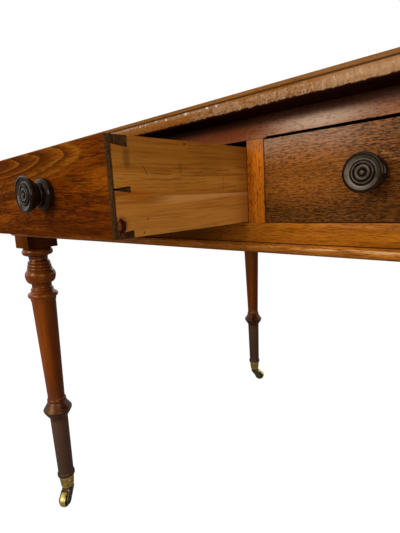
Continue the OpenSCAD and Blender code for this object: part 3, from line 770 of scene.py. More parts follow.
def paintBottomRail(name, look, values):
    # painted shade: the rail is darker to the left, under the open drawer
    kit = startWood(name, look)
    x, y, z = splitPlace(kit)
    layTone(kit, x, values["paintedDrawerShade"])
    return sealWood(kit)


dividerValues = {
    "lighterTop": (0.6885, 0.6965, 0.55, (156, 100, 62)),
    "pattern": ((300.0, 300.0, 60.0),),
    "waver": 0.006,
}


def paintDivider(name, look, values):
    kit = startWood(name, look)
    x, y, z = splitPlace(kit)
    # paler towards the top, with an uneven edge
    layTone(kit, waver(kit, z, values["waver"], values["pattern"]), values["lighterTop"])
    return sealWood(kit)


beadValues = {
    "wornPattern": ((36.0, 1.0, 620.0), 4.0, 0.65),
    "wornLight": (0.52, 0.64, 0.35, (216, 150, 70)),
    "wornDark": (0.48, 0.38, 0.65, (118, 62, 16)),
    "crest": (0.6020, 0.6032, 0.6040, 0.6048),
    "crestWear": (0.42, 0.56, 0.15, 1.0),
    "crestAlong": (-0.02, 0.11, 0.1, 0.7),  # the painted highlight is stronger towards the right
    "paintedHighlight": (232, 180, 126),
    "porePattern": ((190.0, 1.0, 1100.0), 2.0, 0.6, 0.0, (3.0, 0.0, 5.0)),
    "pores": (0.55, 0.64, 0.55, (96, 50, 14)),
    "lowSide": (0.6002, 0.5978, 0.5, (128, 84, 62)),
    "paintedGrooveShade": (0.6062, 0.6067, 1.0, (60, 32, 12)),
    "leftEnd": (-0.12, -0.22, 0.6, (150, 98, 70)),
    "wornHeight": 0.8,
}


def paintBead(name, look, values):
    kit = startWood(name, look)
    x, y, z = splitPlace(kit)
    along = alongEdge(kit, x, y, z)
    worn = mottle(kit, *values["wornPattern"], source=along)
    layTone(kit, worn, values["wornLight"])
    layTone(kit, worn, values["wornDark"])
    # a painted highlight along the crest of the bead, broken up by the worn pattern
    crest = times(kit, between(kit, z, *values["crest"]), fade(kit, worn, *values["crestWear"]))
    addLayer(kit, times(kit, crest, fade(kit, x, *values["crestAlong"])), values["paintedHighlight"])
    layTone(kit, mottle(kit, *values["porePattern"], source=along), values["pores"])
    layTone(kit, z, values["lowSide"])
    # painted shade in the groove above the bead
    layTone(kit, z, values["paintedGrooveShade"])
    layTone(kit, x, values["leftEnd"])
    kit["height"] = times(kit, worn, values["wornHeight"])
    return sealWood(kit)


topEdgeValues = {
    "nose": (0.7300, 0.7294, 0.8, (150, 92, 32)),
    "patchPattern": ((55.0, 1.0, 190.0), 5.0, 0.75),
    "patchAlong": (-0.12, 0.0, -0.25, 0.06),  # hardly any patches at the left end
    "patchUp": (0.7262, 0.7288, 0.0, 0.14),
    "patchEdge": (0.42, 0.56),
    "streakPattern": ((430.0, 1.0, 120.0), 4.0, 0.75, 0.9),
    "streakShare": (0.34, 0.6, 0.3, 0.9),
    "bareWood": (172, 130, 94),
    "palePattern": ((360.0, 1.0, 260.0), 3.0, 0.7, 0.6, (4.0, 0.0, 9.0)),
    "pale": (0.54, 0.66, 0.55, (210, 174, 138)),
    "scratchPattern": ((300.0, 1.0, 90.0), 3.0, 0.7, 0.7, (2.0, 0.0, 6.0)),
    "scratches": (0.56, 0.64, 0.55, (92, 52, 22)),
    "speckPattern": ((560.0, 1.0, 620.0), 2.0, 0.6, 0.0, (1.0, 0.0, 3.0)),
    "speckDown": (0.7235, 0.7200, 0.0, 0.06),  # more specks lower down
    "specks": (0.60, 0.65, 0.8, (54, 34, 20)),
    "paleEnd": (0.045, 0.11, 0.42, (204, 156, 110)),
    "crest": (0.7258, 0.7278, 0.7291, 0.7297),
    "crestEnd": (0.02, -0.03),
    "crestShare": 0.4,
    "crestColour": (176, 136, 108),
    "glintPattern": ((240.0, 1.0, 150.0), 3.0, 0.7, 0.5, (8.0, 0.0, 2.0)),
    "paintedGlints": (0.55, 0.61, 0.9, (232, 222, 212)),
    "underPattern": ((200.0, 1.0, 60.0), 4.0),
    "underWaver": -0.0035,
    "under": (0.7189, 0.7180, 1.0, (40, 16, 5)),
    "fillet": (0.7296, 0.7302, 0.5, (138, 88, 32)),
    "quirk": 0.7300,
    "paintedQuirkShade": (0.0007, 0.0003, 0.75, (80, 48, 20)),
    "streakHeight": 1.6,
    "wornDull": 0.12,
}


def paintTopEdge(name, look, values):
    # golden and glossy at the left end, rubbed to bare wood from there on
    kit = startWood(name, look)
    x, y, z = splitPlace(kit)
    along = alongEdge(kit, x, y, z)
    nose = fade(kit, z, *values["nose"][:2])
    layTone(kit, z, values["nose"])
    patches = mottle(kit, *values["patchPattern"], source=along)
    patches = plus(kit, patches, fade(kit, x, *values["patchAlong"]))
    patches = minus(kit, patches, fade(kit, z, *values["patchUp"]))
    worn = times(kit, nose, fade(kit, patches, *values["patchEdge"]))
    streaks = mottle(kit, *values["streakPattern"], source=along)
    addLayer(kit, times(kit, worn, fade(kit, streaks, *values["streakShare"])), values["bareWood"])
    layTone(kit, mottle(kit, *values["palePattern"], source=along), values["pale"], worn)
    layTone(kit, mottle(kit, *values["scratchPattern"], source=along), values["scratches"], nose)
    specks = mottle(kit, *values["speckPattern"], source=along)
    layTone(kit, plus(kit, specks, fade(kit, z, *values["speckDown"])), values["specks"], nose)
    layTone(kit, x, values["paleEnd"], nose)
    # a lighter band along the crest of the nose, more at the left end, with painted glints in it
    crest = times(kit, between(kit, z, *values["crest"]), fade(kit, x, *values["crestEnd"]))
    addLayer(kit, times(kit, crest, values["crestShare"]), values["crestColour"])
    layTone(kit, mottle(kit, *values["glintPattern"], source=along), values["paintedGlints"], crest)
    # painted shade on the underside of the top, with a ragged edge up the nose
    layTone(kit, waver(kit, z, values["underWaver"], values["underPattern"], along), values["under"])
    layTone(kit, z, values["fillet"])
    # painted shade in the small groove above the nose
    layTone(kit, gapTo(kit, z, values["quirk"]), values["paintedQuirkShade"])
    kit["height"] = times(kit, nose, streaks, values["streakHeight"])
    kit["dull"] = times(kit, worn, values["wornDull"])
    return sealWood(kit)


rightFrontValues = {
    "paintedSheenTop": (0.670, 0.696, 0.85, (180, 138, 108)),
    "paintedSheenAlong": (0.105, 0.07, 0.25, 1.0),  # weaker towards the right
    "glowSpot": (0.045, 0.664),
    "glowScale": (16.0, 34.0),
    "glow": (1.3, 0.0, 0.5, (184, 108, 38)),
    "lowShade": (0.656, 0.630, 0.55, (74, 46, 18)),
    "rightShade": (0.100, 0.130, 0.5, (84, 42, 10)),
    "streakPattern": ((70.0, 70.0, 1100.0), 3.0, 0.65, 0.0, (6.0, 3.0, 1.0)),
    "paleStreaks": (0.47, 0.34, 1.0, (176, 118, 64)),
    "paleStreaksUp": (0.655, 0.692, 0.18, 0.36),  # stronger higher up
    "darkStreaks": (0.53, 0.66, 0.42, (48, 25, 10)),
    "moreFlecks": 0.45,
    "scuffPattern": ((330.0, 330.0, 1100.0), 2.0, 0.6),
    "scuffs": (0.56, 0.66, 0.75, (190, 132, 66)),
    "scuffMiddle": 0.116,
    "scuffReach": (0.017, 0.004),
    "scuffHeights": (0.667, 0.671, 0.676, 0.681),
}


def paintRightFront(name, look, values):
    kit = startWood(name, look)
    x, y, z = splitPlace(kit)
    # a painted sheen at the top, weaker towards the right
    layTone(kit, z, values["paintedSheenTop"], fade(kit, x, *values["paintedSheenAlong"]))
    glowX, glowZ = values["glowSpot"]
    scaleX, scaleZ = values["glowScale"]
    across = times(kit, minus(kit, x, glowX), scaleX)
    upward = times(kit, minus(kit, z, glowZ), scaleZ)
    layTone(kit, plus(kit, times(kit, across, across), times(kit, upward, upward)), values["glow"])
    # painted shade low down and at the right end
    layTone(kit, z, values["lowShade"])
    layTone(kit, x, values["rightShade"])
    streaks = mottle(kit, *values["streakPattern"], source=kit["grained"])
    layTone(kit, streaks, values["paleStreaks"], fade(kit, z, *values["paleStreaksUp"]))
    layTone(kit, streaks, values["darkStreaks"])
    addFlecks(kit, values["moreFlecks"])
    # light scuffs beside the knob
    scuffed = fade(kit, gapTo(kit, x, values["scuffMiddle"]), *values["scuffReach"])
    scuffed = times(kit, scuffed, between(kit, z, *values["scuffHeights"]))
    layTone(kit, mottle(kit, *values["scuffPattern"]), values["scuffs"], scuffed)
    return sealWood(kit)


archValues = {
    "first": -0.036,  # tip of the outermost arch
    "height": 0.6845,  # and its height
    "droop": 0.05,
    "blunt": 0.003,  # how round the tips are
    "open": 33.0,  # how wide the outermost arch opens
    "narrow": 16.0,  # and how much less the next one
    "spacing": 0.037,
    "wobble": 0.011,
    "wobblePattern": ((70.0, 70.0, 260.0), 4.0, 0.65),
    "edge": (-0.006, 0.006, 0.0, 0.9),
    "strength": (0.0, 0.0024, 1.0, 0.45),
    # four arches, a quarter each, and the colours from their tips inward
    "colours": {"gold": (156, 88, 14), "amber": (134, 70, 6), "dim": (116, 58, 4), "brown": (92, 42, 1),
                "dark": (74, 34, 1)},
    "steps": ((0.0, "dim"), (0.05, "gold"), (0.13, "dim"), (0.17, "dark"), (0.185, "gold"), (0.25, "amber"),
              (0.36, "brown"), (0.43, "dark"), (0.45, "gold"), (0.5, "dim"), (0.6, "brown"), (0.7, "dark"),
              (0.715, "gold"), (0.76, "dim"), (0.85, "brown")),
}
leftFrontValues = {
    "moreFlecks": 0.45,
    "beyondArches": (0.0, -0.02),
    "blazeDown": (0.683, 0.676),
    "blazePattern": ((11.0, 11.0, 70.0), 3.0, 0.55, 0.0, (0.4, 0.0, 0.7)),
    "blaze": (0.5, 0.68, 0.6, (164, 84, 6)),
    "glowHeight": 0.668,
    "glowReach": (0.008, 0.001),
    "glow": (-0.05, -0.015, 0.5, (176, 92, 8)),
    "figureDown": (0.676, 0.662, 0.3, 1.0),
    "ripplePattern": ((60.0, 60.0, 960.0), 3.0, 0.6, 1.2),
    "ripples": (0.45, 0.58, 0.64, (60, 22, 1)),
    "streakPattern": ((9.0, 9.0, 260.0), 3.0, 0.7, 0.0, (3.0, 0.0, 5.0)),
    "streaks": (0.56, 0.62, 0.35, (58, 20, 1)),
    "lowShade": (0.642, 0.626, 0.3, (70, 28, 1)),
    "nickPattern": ((180.0, 180.0, 620.0), 1.0, 0.4),
    "nicks": (0.765, 0.78, 1.0, (206, 150, 86)),
}


def drawArches(kit, x, z, values):
    # flat-sawn figure: nested arches that point to the right; gives their order, 0 at the first tip
    back = minus(kit, values["first"], x)
    off = minus(kit, z, plus(kit, values["height"], times(kit, back, values["droop"])))
    away = calc(kit, "POWER", plus(kit, times(kit, off, off), values["blunt"] ** 2), 0.75)
    away = minus(kit, away, values["blunt"] ** 1.5)
    wobble = times(kit, minus(kit, mottle(kit, *values["wobblePattern"]), 0.5), values["wobble"])
    reach = plus(kit, minus(kit, back, times(kit, away, values["open"])), wobble)
    width = plus(kit, values["spacing"], times(kit, away, values["narrow"]))
    order = calc(kit, "DIVIDE", calc(kit, "DIVIDE", reach, width), 4.0)
    steps = [(position, values["colours"][colour]) for position, colour in values["steps"]]
    drawn = times(kit, fade(kit, order, *values["edge"]), fade(kit, away, *values["strength"]))
    addLayer(kit, drawn, colourSteps(kit, order, steps))
    return order


def paintLeftFront(name, look, arches, values):
    kit = startWood(name, look)
    x, y, z = splitPlace(kit, kit["grained"])
    order = drawArches(kit, x, z, arches)
    addFlecks(kit, values["moreFlecks"])
    beyond = times(kit, fade(kit, order, *values["beyondArches"]), fade(kit, z, *values["blazeDown"]))
    layTone(kit, mottle(kit, *values["blazePattern"], source=kit["grained"]), values["blaze"], beyond)
    glowing = fade(kit, gapTo(kit, z, values["glowHeight"]), *values["glowReach"])
    layTone(kit, x, values["glow"], glowing)
    low = fade(kit, z, *values["figureDown"])
    for pattern, tone in (("ripplePattern", "ripples"), ("streakPattern", "streaks")):
        layTone(kit, mottle(kit, *values[pattern], source=kit["grained"]), values[tone], low)
    layTone(kit, z, values["lowShade"])
    layTone(kit, mottle(kit, *values["nickPattern"]), values["nicks"])
    return sealWood(kit)


pineSideValues = {
    # darker at the top, paler and pinker low down
    "highTone": (0.662, 0.692, 0.6, (132, 78, 18)),
    "lowTone": (0.654, 0.646, 0.5, (196, 124, 52)),
    "lineShare": 0.4,
    "lineColour": (128, 70, 20),
    # y, z, half width, half height, share and colour of each stain
    "stains": (
        (-0.4562, 0.6795, 0.0026, 0.0070, 0.55, (88, 58, 30)),
        (-0.4490, 0.6548, 0.0110, 0.0040, 0.4, (176, 88, 20)),
        (-0.4060, 0.6740, 0.0020, 0.0045, 0.35, (116, 70, 26)),
        (-0.3700, 0.6760, 0.0150, 0.0070, 0.3, (120, 70, 22)),
    ),
    # y, z and size of each small hole
    "holes": ((-0.4416, 0.6375, 0.0007), (-0.4458, 0.6283, 0.0007), (-0.4007, 0.6915, 0.0009)),
    "holeTone": (1.2, 0.7, 0.9, (44, 24, 10)),
    # a knot near the lower corner of the lapped end, with a dark crescent on its far side
    "knot": (-0.4650, 0.6340, 0.0040, 0.0050, 1.1),  # y, z, half width, half height, how ragged
    "knotTone": (1.9, 0.7, 0.8, (92, 44, 24)),
    "knotEdge": (1.15, 0.85),
    "core": (-0.4672, 0.6346, 0.0028, 0.0036, 0.9),
    "crescent": (0.7, 1.1, 1.0, (56, 19, 15)),
    # a paler strip where the guide has rubbed
    "stripRise": (-0.430, -0.340, 0.0, 0.0035),
    "stripLow": (0.6455, 0.6490),
    "stripHigh": (0.6538, 0.6530),
    "strip": (-0.440, -0.410, 0.6, (216, 152, 84)),
    # the line scribed for the back end, and a short sloping crack
    "scribed": -0.3552,
    "scribedHeights": (0.654, 0.656, 0.667, 0.670),
    "scribedTone": (0.0007, 0.0002, 0.5, (96, 56, 22)),
    "crack": (-0.441, 0.6715),
    "crackSlope": 0.5,
    "crackHeights": (0.667, 0.669, 0.674, 0.676),
    "crackTone": (0.0006, 0.0002, 0.7, (70, 38, 14)),
    # darker towards the back, where hands don't reach, and painted shade where light doesn't reach
    "backUnhandledAndShade": (-0.345, -0.318, 0.35, (104, 56, 16)),
}


def paintPineSide(name, look, values):
    kit = startWood(name, look)
    x, y, z = splitPlace(kit)
    layTone(kit, z, values["highTone"])
    layTone(kit, z, values["lowTone"])
    addLayer(kit, times(kit, kit["lines"], values["lineShare"]), values["lineColour"])
    for spotY, spotZ, wide, high, share, colour in values["stains"]:
        layTone(kit, nearSpot(kit, y, z, spotY, spotZ, wide, high, 0.8), (1.5, 0.6, share, colour))
    for spotY, spotZ, size in values["holes"]:
        layTone(kit, nearSpot(kit, y, z, spotY, spotZ, size, size, 0.3), values["holeTone"])
    knot = nearSpot(kit, y, z, *values["knot"])
    layTone(kit, knot, values["knotTone"])
    inKnot = fade(kit, knot, *values["knotEdge"])
    layTone(kit, nearSpot(kit, y, z, *values["core"]), values["crescent"], inKnot)
    rising = minus(kit, z, fade(kit, y, *values["stripRise"]))
    strip = times(kit, fade(kit, rising, *values["stripLow"]), fade(kit, z, *values["stripHigh"]))
    layTone(kit, y, values["strip"], strip)
    scribed = gapTo(kit, y, values["scribed"])
    layTone(kit, scribed, values["scribedTone"], between(kit, z, *values["scribedHeights"]))
    crackY, crackZ = values["crack"]
    sloping = plus(kit, y, times(kit, minus(kit, z, crackZ), values["crackSlope"]))
    layTone(kit, gapTo(kit, sloping, crackY), values["crackTone"], between(kit, z, *values["crackHeights"]))
    layTone(kit, y, values["backUnhandledAndShade"])
    return sealWood(kit)


legPaintValues = {
    # the middle between the four legs, and how far their axes stand from it
    "middle": (0.0, 0.0715),
    "legs": (0.5445, 0.363),
    "fadedPattern": ((30.0, 30.0, 12.0),),
    "fadedWaver": 0.06,
    "browned": (0.36, 0.26, 0.5, (86, 44, 34)),
    "greyed": (0.250, 0.218, 0.85, (76, 58, 48)),
    "foot": (0.20, 0.07, 0.7, (58, 44, 38)),
    # old polish has gathered dark on the ring above the grey part
    "gathered": (0.200, 0.207, 0.236, 0.252),
    "patchPattern": ((120.0, 120.0, 260.0), 4.0, 0.65, 0.0, (5.0, 1.0, 2.0)),
    "patchShare": (0.42, 0.58, 0.55, 0.95),
    "patchColour": (30, 14, 6),
    "patchDull": (0.42, 0.62, 0.16, 0.04),
    # and in the hollows of the turning
    "turning": (0.463, 0.468),
    "hollow": (0.0225, 0.0195, 0.4, (44, 18, 5)),
    # painted light and shade: the outer sides are painted golden, most on the swellings, and the inner ones
    # dark
    "swelling": (0.0225, 0.0275),
    "outerShare": (-0.012, 0.018, 0.1, 0.65),
    "paintedHighlight": (156, 84, 16),
    "inner": (-0.006, -0.022, 0.3, (62, 25, 6)),
    "lip": (0.0785, 0.0765, 0.7, (34, 27, 24)),
    "footDull": (0.212, 0.203, 0.0, 0.22),
}


def paintLeg(name, look, values):
    kit = startWood(name, look)
    x, y, z = splitPlace(kit)
    faded = waver(kit, z, values["fadedWaver"], values["fadedPattern"])
    layTone(kit, faded, values["browned"])
    layTone(kit, faded, values["greyed"])
    layTone(kit, z, values["foot"])
    gathered = between(kit, z, *values["gathered"])
    patches = mottle(kit, *values["patchPattern"])
    patched = times(kit, gathered, fade(kit, patches, *values["patchShare"]))
    addLayer(kit, patched, values["patchColour"])
    # one material serves all four legs, so places are taken from the nearest leg's axis
    across = minus(kit, gapTo(kit, x, values["middle"][0]), values["legs"][0])
    depth = minus(kit, gapTo(kit, y, values["middle"][1]), values["legs"][1])
    radius = roundDistance(kit, across, depth)
    turning = fade(kit, z, *values["turning"])
    layTone(kit, radius, values["hollow"], turning)
    # a painted highlight on the outer sides of the swellings, and painted shade on the inner sides
    rounded = times(kit, fade(kit, radius, *values["swelling"]), turning)
    addLayer(kit, times(kit, rounded, fade(kit, across, *values["outerShare"])), values["paintedHighlight"])
    layTone(kit, across, values["inner"])
    layTone(kit, z, values["lip"])
    broken = times(kit, gathered, fade(kit, patches, *values["patchDull"]))
    kit["dull"] = plus(kit, fade(kit, z, *values["footDull"]), broken)
    return sealWood(kit)


knobPaintValues = {
    "blackPattern": ((160.0, 160.0, 160.0), 4.0, 0.65),
    "blacks": ((0.35, (18, 10, 6)), (0.58, (38, 22, 12)), (0.75, (62, 38, 22))),
    "turnedPattern": ((1500.0, 1500.0, 1.0), 2.0),
    "turned": (0.55, 0.7, 0.3, (70, 56, 44)),
    # the raised rings of the face are rubbed to a dull grey brown, with a painted reflection that is stronger
    # to the lower left: inner radius, outer radius, share
    "ringWearAndReflection": (
        (0.0092, 0.0122, 0.62), (0.0069, 0.0078, 0.55), (0.0034, 0.0052, 0.34), (0.0, 0.0014, 0.5)
    ),
    "reflectionSide": (0.010, -0.012, 0.25, 1.0),  # the painted reflection is stronger on the left and below
    "reflectionSlant": 0.6,
    "rubbedWear": (0.3, 0.6, 0.5, 1.0),
    "ringWearAndReflectionColour": (120, 108, 90),
    "ringEdgeBlur": 0.0004,
    "hollows": ((0.0079, 0.0089), (0.0055, 0.0066), (0.0017, 0.0030), (0.0124, 0.0130)),
    "hollowBlur": 0.0003,
    "hollowShare": 0.6,
    "paintedHollowShade": (8, 5, 4),
    "faceDepth": (0.005, 0.004),  # how far back the face's marks reach
    "shine": 0.17,
    "hollowShine": 0.14,  # how much less of it the hollows have
    "gloss": (0.35, 0.7, 0.05, 0.11),
    "tint": (1.0, 0.8, 0.66, 1.0),
    "bump": (0.08, 0.0002),  # strength and depth
}


def paintKnob(name, spotX, spotZ, frontY, worn, values):
    kit = startMaterial(name)
    x, y, z = splitPlace(kit)
    across, upward = minus(kit, x, spotX), minus(kit, z, spotZ)
    radius = roundDistance(kit, across, upward)
    black = mottle(kit, *values["blackPattern"])
    kit["colour"] = colourSteps(kit, black, values["blacks"])
    turned = mottle(kit, *values["turnedPattern"], source=joinPlace(kit, radius, y, 0.0))
    layTone(kit, turned, values["turned"])
    face = fade(kit, y, *(frontY + depth for depth in values["faceDepth"]))
    # the raised rings are worn grey brown, with a painted reflection stronger to the lower left
    side = plus(kit, across, times(kit, upward, values["reflectionSlant"]))
    side = times(kit, fade(kit, side, *values["reflectionSide"]), face, fade(kit, black, *values["rubbedWear"]))
    blur = values["ringEdgeBlur"]
    for inner, outer, share in values["ringWearAndReflection"]:
        ring = between(kit, radius, inner - blur, inner + blur, outer - blur, outer + blur)
        addLayer(kit, times(kit, ring, side, share * worn), values["ringWearAndReflectionColour"])
    # painted shade in the hollows of the face and round its rim
    hollow, blur = 0.0, values["hollowBlur"]
    for inner, outer in values["hollows"]:
        hollow = calc(kit, "MAXIMUM", hollow, between(kit, radius, inner - blur, inner, outer, outer + blur))
    hollow = times(kit, hollow, face)
    addLayer(kit, times(kit, hollow, values["hollowShare"]), values["paintedHollowShade"])
    shader = kit["shader"]
    feed(kit, kit["colour"], shader.inputs["Base Color"])
    feed(kit, fade(kit, black, *values["gloss"]), shader.inputs["Roughness"])
    shine = minus(kit, values["shine"], times(kit, hollow, values["hollowShine"]))
    feed(kit, shine, shader.inputs["Specular IOR Level"])
    shader.inputs["Specular Tint"].default_value = values["tint"]
    raiseBump(kit, turned, *values["bump"])
    return kit["material"]


metalLooks = {
    # dark, mid and light tone, grime and its share, how metallic, roughness where dark and where light
    "Brass": ((150, 124, 62), (180, 150, 80), (200, 170, 98), (104, 88, 48), 0.4, 0.8, (0.52, 0.42)),
    "ForkBrass": ((44, 38, 26), (78, 68, 48), (112, 98, 70), (30, 26, 18), 0.5, 0.6, (0.6, 0.48)),
    "WheelTread": ((176, 146, 70), (212, 182, 98), (236, 214, 140), (130, 106, 50), 0.3, 0.8, (0.4, 0.3)),
    "WheelSide": ((16, 14, 12), (28, 25, 20), (48, 42, 32), (74, 64, 42), 0.3, 0.2, (0.6, 0.45)),
    "ScrewSteel": ((70, 66, 62), (96, 92, 88), (128, 124, 118), (84, 56, 38), 0.5, 0.8, (0.6, 0.45)),
}
metalValues = {
    "tarnish": ((130.0, 130.0, 130.0), 4.0, 0.65),
    "steps": (0.36, 0.52, 0.68),  # where in the tarnish the three tones lie
    "grime": ((420.0, 420.0, 420.0), 3.0, 0.6, 0.0, (2.0, 5.0, 1.0)),
    "grimeEdge": (0.56, 0.68),
    "bump": (0.3, 0.0002),  # strength and depth
}


def paintMetal(name, values=metalValues):
    dark, mid, light, grimeTone, grimeShare, metallic, gloss = metalLooks[name]
    low, middle, high = values["steps"]
    kit = startMaterial(name)
    tarnish = mottle(kit, *values["tarnish"])
    kit["colour"] = colourSteps(kit, tarnish, [(low, dark), (middle, mid), (high, light)])
    grime = mottle(kit, *values["grime"])
    layTone(kit, grime, (*values["grimeEdge"], grimeShare, grimeTone))
    feed(kit, kit["colour"], kit["shader"].inputs["Base Color"])
    kit["shader"].inputs["Metallic"].default_value = metallic
    feed(kit, fade(kit, tarnish, low, high, *gloss), kit["shader"].inputs["Roughness"])
    raiseBump(kit, grime, *values["bump"])
    return kit["material"]


# The materials themselves

topPaint = paintTopEdge("TopWood", topLook, topEdgeValues)
topRailPaint = paintTopRail("TopRailWood", frameLook, topRailValues)
bottomRailPaint = paintBottomRail("BottomRailWood", bottomLook, bottomRailValues)
dividerPaint = paintDivider("DividerWood", dividerLook, dividerValues)
sideRailPaint = paintPlain("SideRailWood", dict(frameLook, grain="Y"))
backRailPaint = paintPlain("BackRailWood", frameLook)
rubbedPaint = paintWornEdge("RubbedFrameEdge", bottomLook, (206, 158, 104), 0.5)
# the rails' eased edges, painted near black as shade
darkEdgePaint = paintWornEdge("RailEdge", darkEdgeLook, (30, 16, 9), 0.3)
beadPaint = paintBead("BeadWood", beadLook, beadValues)
legPaint = paintLeg("LegWood", legLook, legPaintValues)
blockFrontPaint = paintPlain("LegBlockFront", blockFrontLook)
shadedBlockSidePaint = paintPlain("LegBlockSideShaded", shadedBlockSideLook)
legEdgePaint = paintWornEdge("RubbedLegEdge", legLook, (130, 74, 30), 0.3)
leftFrontPaint = paintLeftFront("LeftFrontWood", leftFrontLook, archValues, leftFrontValues)
rightFrontPaint = paintRightFront("RightFrontWood", rightFrontLook, rightFrontValues)
frontEdgePaint = paintWornEdge("RubbedFrontEdge", leftFrontLook, (204, 150, 92), 0.55)
endGrainPaint = paintPlain("EndGrain", endGrainLook)
pineSidePaint = paintPineSide("PineSide", pineLook, pineSideValues)
pinePaint = paintPlain("PineAlong", pineLook)
pineAcrossPaint = paintPlain("PineAcross", dict(pineLook, grain="X"))
innerPaint = paintPlain("InnerPine", innerLook)
brassPaint = paintMetal("Brass")
forkPaint = paintMetal("ForkBrass")
treadPaint = paintMetal("WheelTread")
blackPaint = paintMetal("WheelSide")
steelPaint = paintMetal("ScrewSteel")
print("Materials made")


# Top: a ring of the moulded edge, closed by flat faces, then cut at the joint of the boards

topValues = {
    "half": (0.602, 0.4205),
    "middle": (0.0, 0.07125),
    "low": 0.7184,
    "flat": 0.012,  # how far the flat faces stay from the edge
    "cuts": (300, 210),  # how many cuts divide the long edges along X and Y
    "longEdge": 0.1,
    "nose": 0.0057,
    # the small groove and the fillet above the nose
    "fillet": ((-0.0028, 0.0114), (-0.0028, 0.01222), (-0.00185, 0.0123), (-0.0018, 0.0136),
               (-0.0018, 0.01495), (-0.0020, 0.0154), (-0.0026, 0.0156)),
    "worn": (0.7192, 0.7294),
    "wear": {"TopWear": (0.007, 0.0007), "TopChips": (0.0022, 0.0004)},  # size and depth
    "smooth": 35,
}


def topProfile(values):
    # (how far out from the widest line, height above the underside), from the underside up
    nose, flat = values["nose"], -values["flat"]
    points = [(flat, 0.0), (-0.0050, 0.0)]
    for step in range(13):
        angle = math.radians(-90 + 15 * step)
        points.append((-nose * 0.6 + nose * 0.6 * math.cos(angle), nose + nose * math.sin(angle)))
    points += [*values["fillet"], (flat, values["fillet"][-1][1])]
    return [(out, values["low"] + height) for out, height in points]


def buildTop(values):
    halfX, halfY = values["half"]
    centre = (*values["middle"], 0)
    profile = topProfile(values)
    clearSelection()
    bpy.ops.mesh.primitive_plane_add(size=2, location=(*values["middle"], profile[0][1]))
    top = bpy.context.active_object
    top.scale = (halfX + profile[0][0], halfY + profile[0][0], 1)
    bpy.ops.object.transform_apply(location=True, rotation=True, scale=True)
    bpy.ops.object.mode_set(mode="EDIT")
    bpy.ops.mesh.select_all(action="SELECT")
    bpy.ops.mesh.delete(type="ONLY_FACE")
    for axis, cuts in enumerate(values["cuts"]):
        chooseWhere(top, "EDGE", lambda edge: abs(edgeSpan(top, edge)[axis]) > values["longEdge"])
        bpy.ops.mesh.subdivide(number_cuts=cuts)
    bpy.ops.mesh.select_all(action="SELECT")
    for before, after in zip(profile, profile[1:]):
        bpy.ops.mesh.extrude_edges_move(TRANSFORM_OT_translate={"value": (0, 0, after[1] - before[1])})
        grow = ((halfX + after[0]) / (halfX + before[0]), (halfY + after[0]) / (halfY + before[0]), 1)
        bpy.ops.transform.resize(value=grow, center_override=centre)
    bpy.ops.mesh.edge_face_add()
    bpy.ops.mesh.select_all(action="DESELECT")
    bpy.ops.mesh.select_non_manifold()
    bpy.ops.mesh.edge_face_add()
    bpy.ops.mesh.select_all(action="SELECT")
    bpy.ops.mesh.normals_make_consistent(inside=False)
    bpy.ops.object.mode_set(mode="OBJECT")
    return top


def wearAway(piece, heights, name, size, depth):
    # pushes the vertices between two heights inward by a cloud pattern, never outward
    low, high = heights
    group = piece.vertex_groups.new(name=name)
    group.add([point.index for point in piece.data.vertices if low < point.co.z < high], 1.0, "REPLACE")
    clouds = bpy.data.textures.new(name, "CLOUDS")
    clouds.noise_scale = size
    clouds.noise_depth = 3
    pickPiece(piece)
    shove = piece.modifiers.new(name, "DISPLACE")
    shove.texture = clouds
    shove.texture_coords = "GLOBAL"
    shove.vertex_group = name
    shove.direction = "NORMAL"
    shove.strength = -depth
    shove.mid_level = 0.0
    bpy.ops.object.modifier_apply(modifier=name)


def cutBoard(whole, name, at, keepFront, smooth):
    board = copyPiece(whole, name)
    pickPiece(board)
    bpy.ops.object.mode_set(mode="EDIT")
    bpy.ops.mesh.select_all(action="SELECT")
    bpy.ops.mesh.bisect(plane_co=(0, at, 0), plane_no=(0, 1, 0), use_fill=True,
                        clear_outer=keepFront, clear_inner=not keepFront)
    bpy.ops.object.mode_set(mode="OBJECT")
    smoothFaces(board, smooth)
    return board


topWhole = buildTop(topValues)
for wearName, (wearSize, wearDepth) in topValues["wear"].items():
    wearAway(topWhole, topValues["worn"], wearName, wearSize, wearDepth)
for node, keepFront in (("top_board_front", True), ("top_board_back", False)):
    boardName = node + "_shaped"
    board = cutBoard(topWhole, boardName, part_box("top_board_front")[1].y, keepFront, topValues["smooth"])
    standFor(board, node, [topPaint])
bpy.data.objects.remove(topWhole)
print("Top built")


# Legs: the square block of the frame's leg over a finer turned part

legValues = {
    # heights and radii of the turned part, in millimetres
    "blockLow": 572.6,
    "shaft": (23.2, 16.9),
    "bulb": 225.5,
    "ring": 29.0,
    "ankle": 16.1,
    "lip": 18.3,
    "foot": 66.0,
    "steps": 72,
    "smooth": 24,
    # the block's eased edges: their width and the shortest edge that is eased, in metres
    "ease": 0.0009,
    "shortest": 0.05,
}


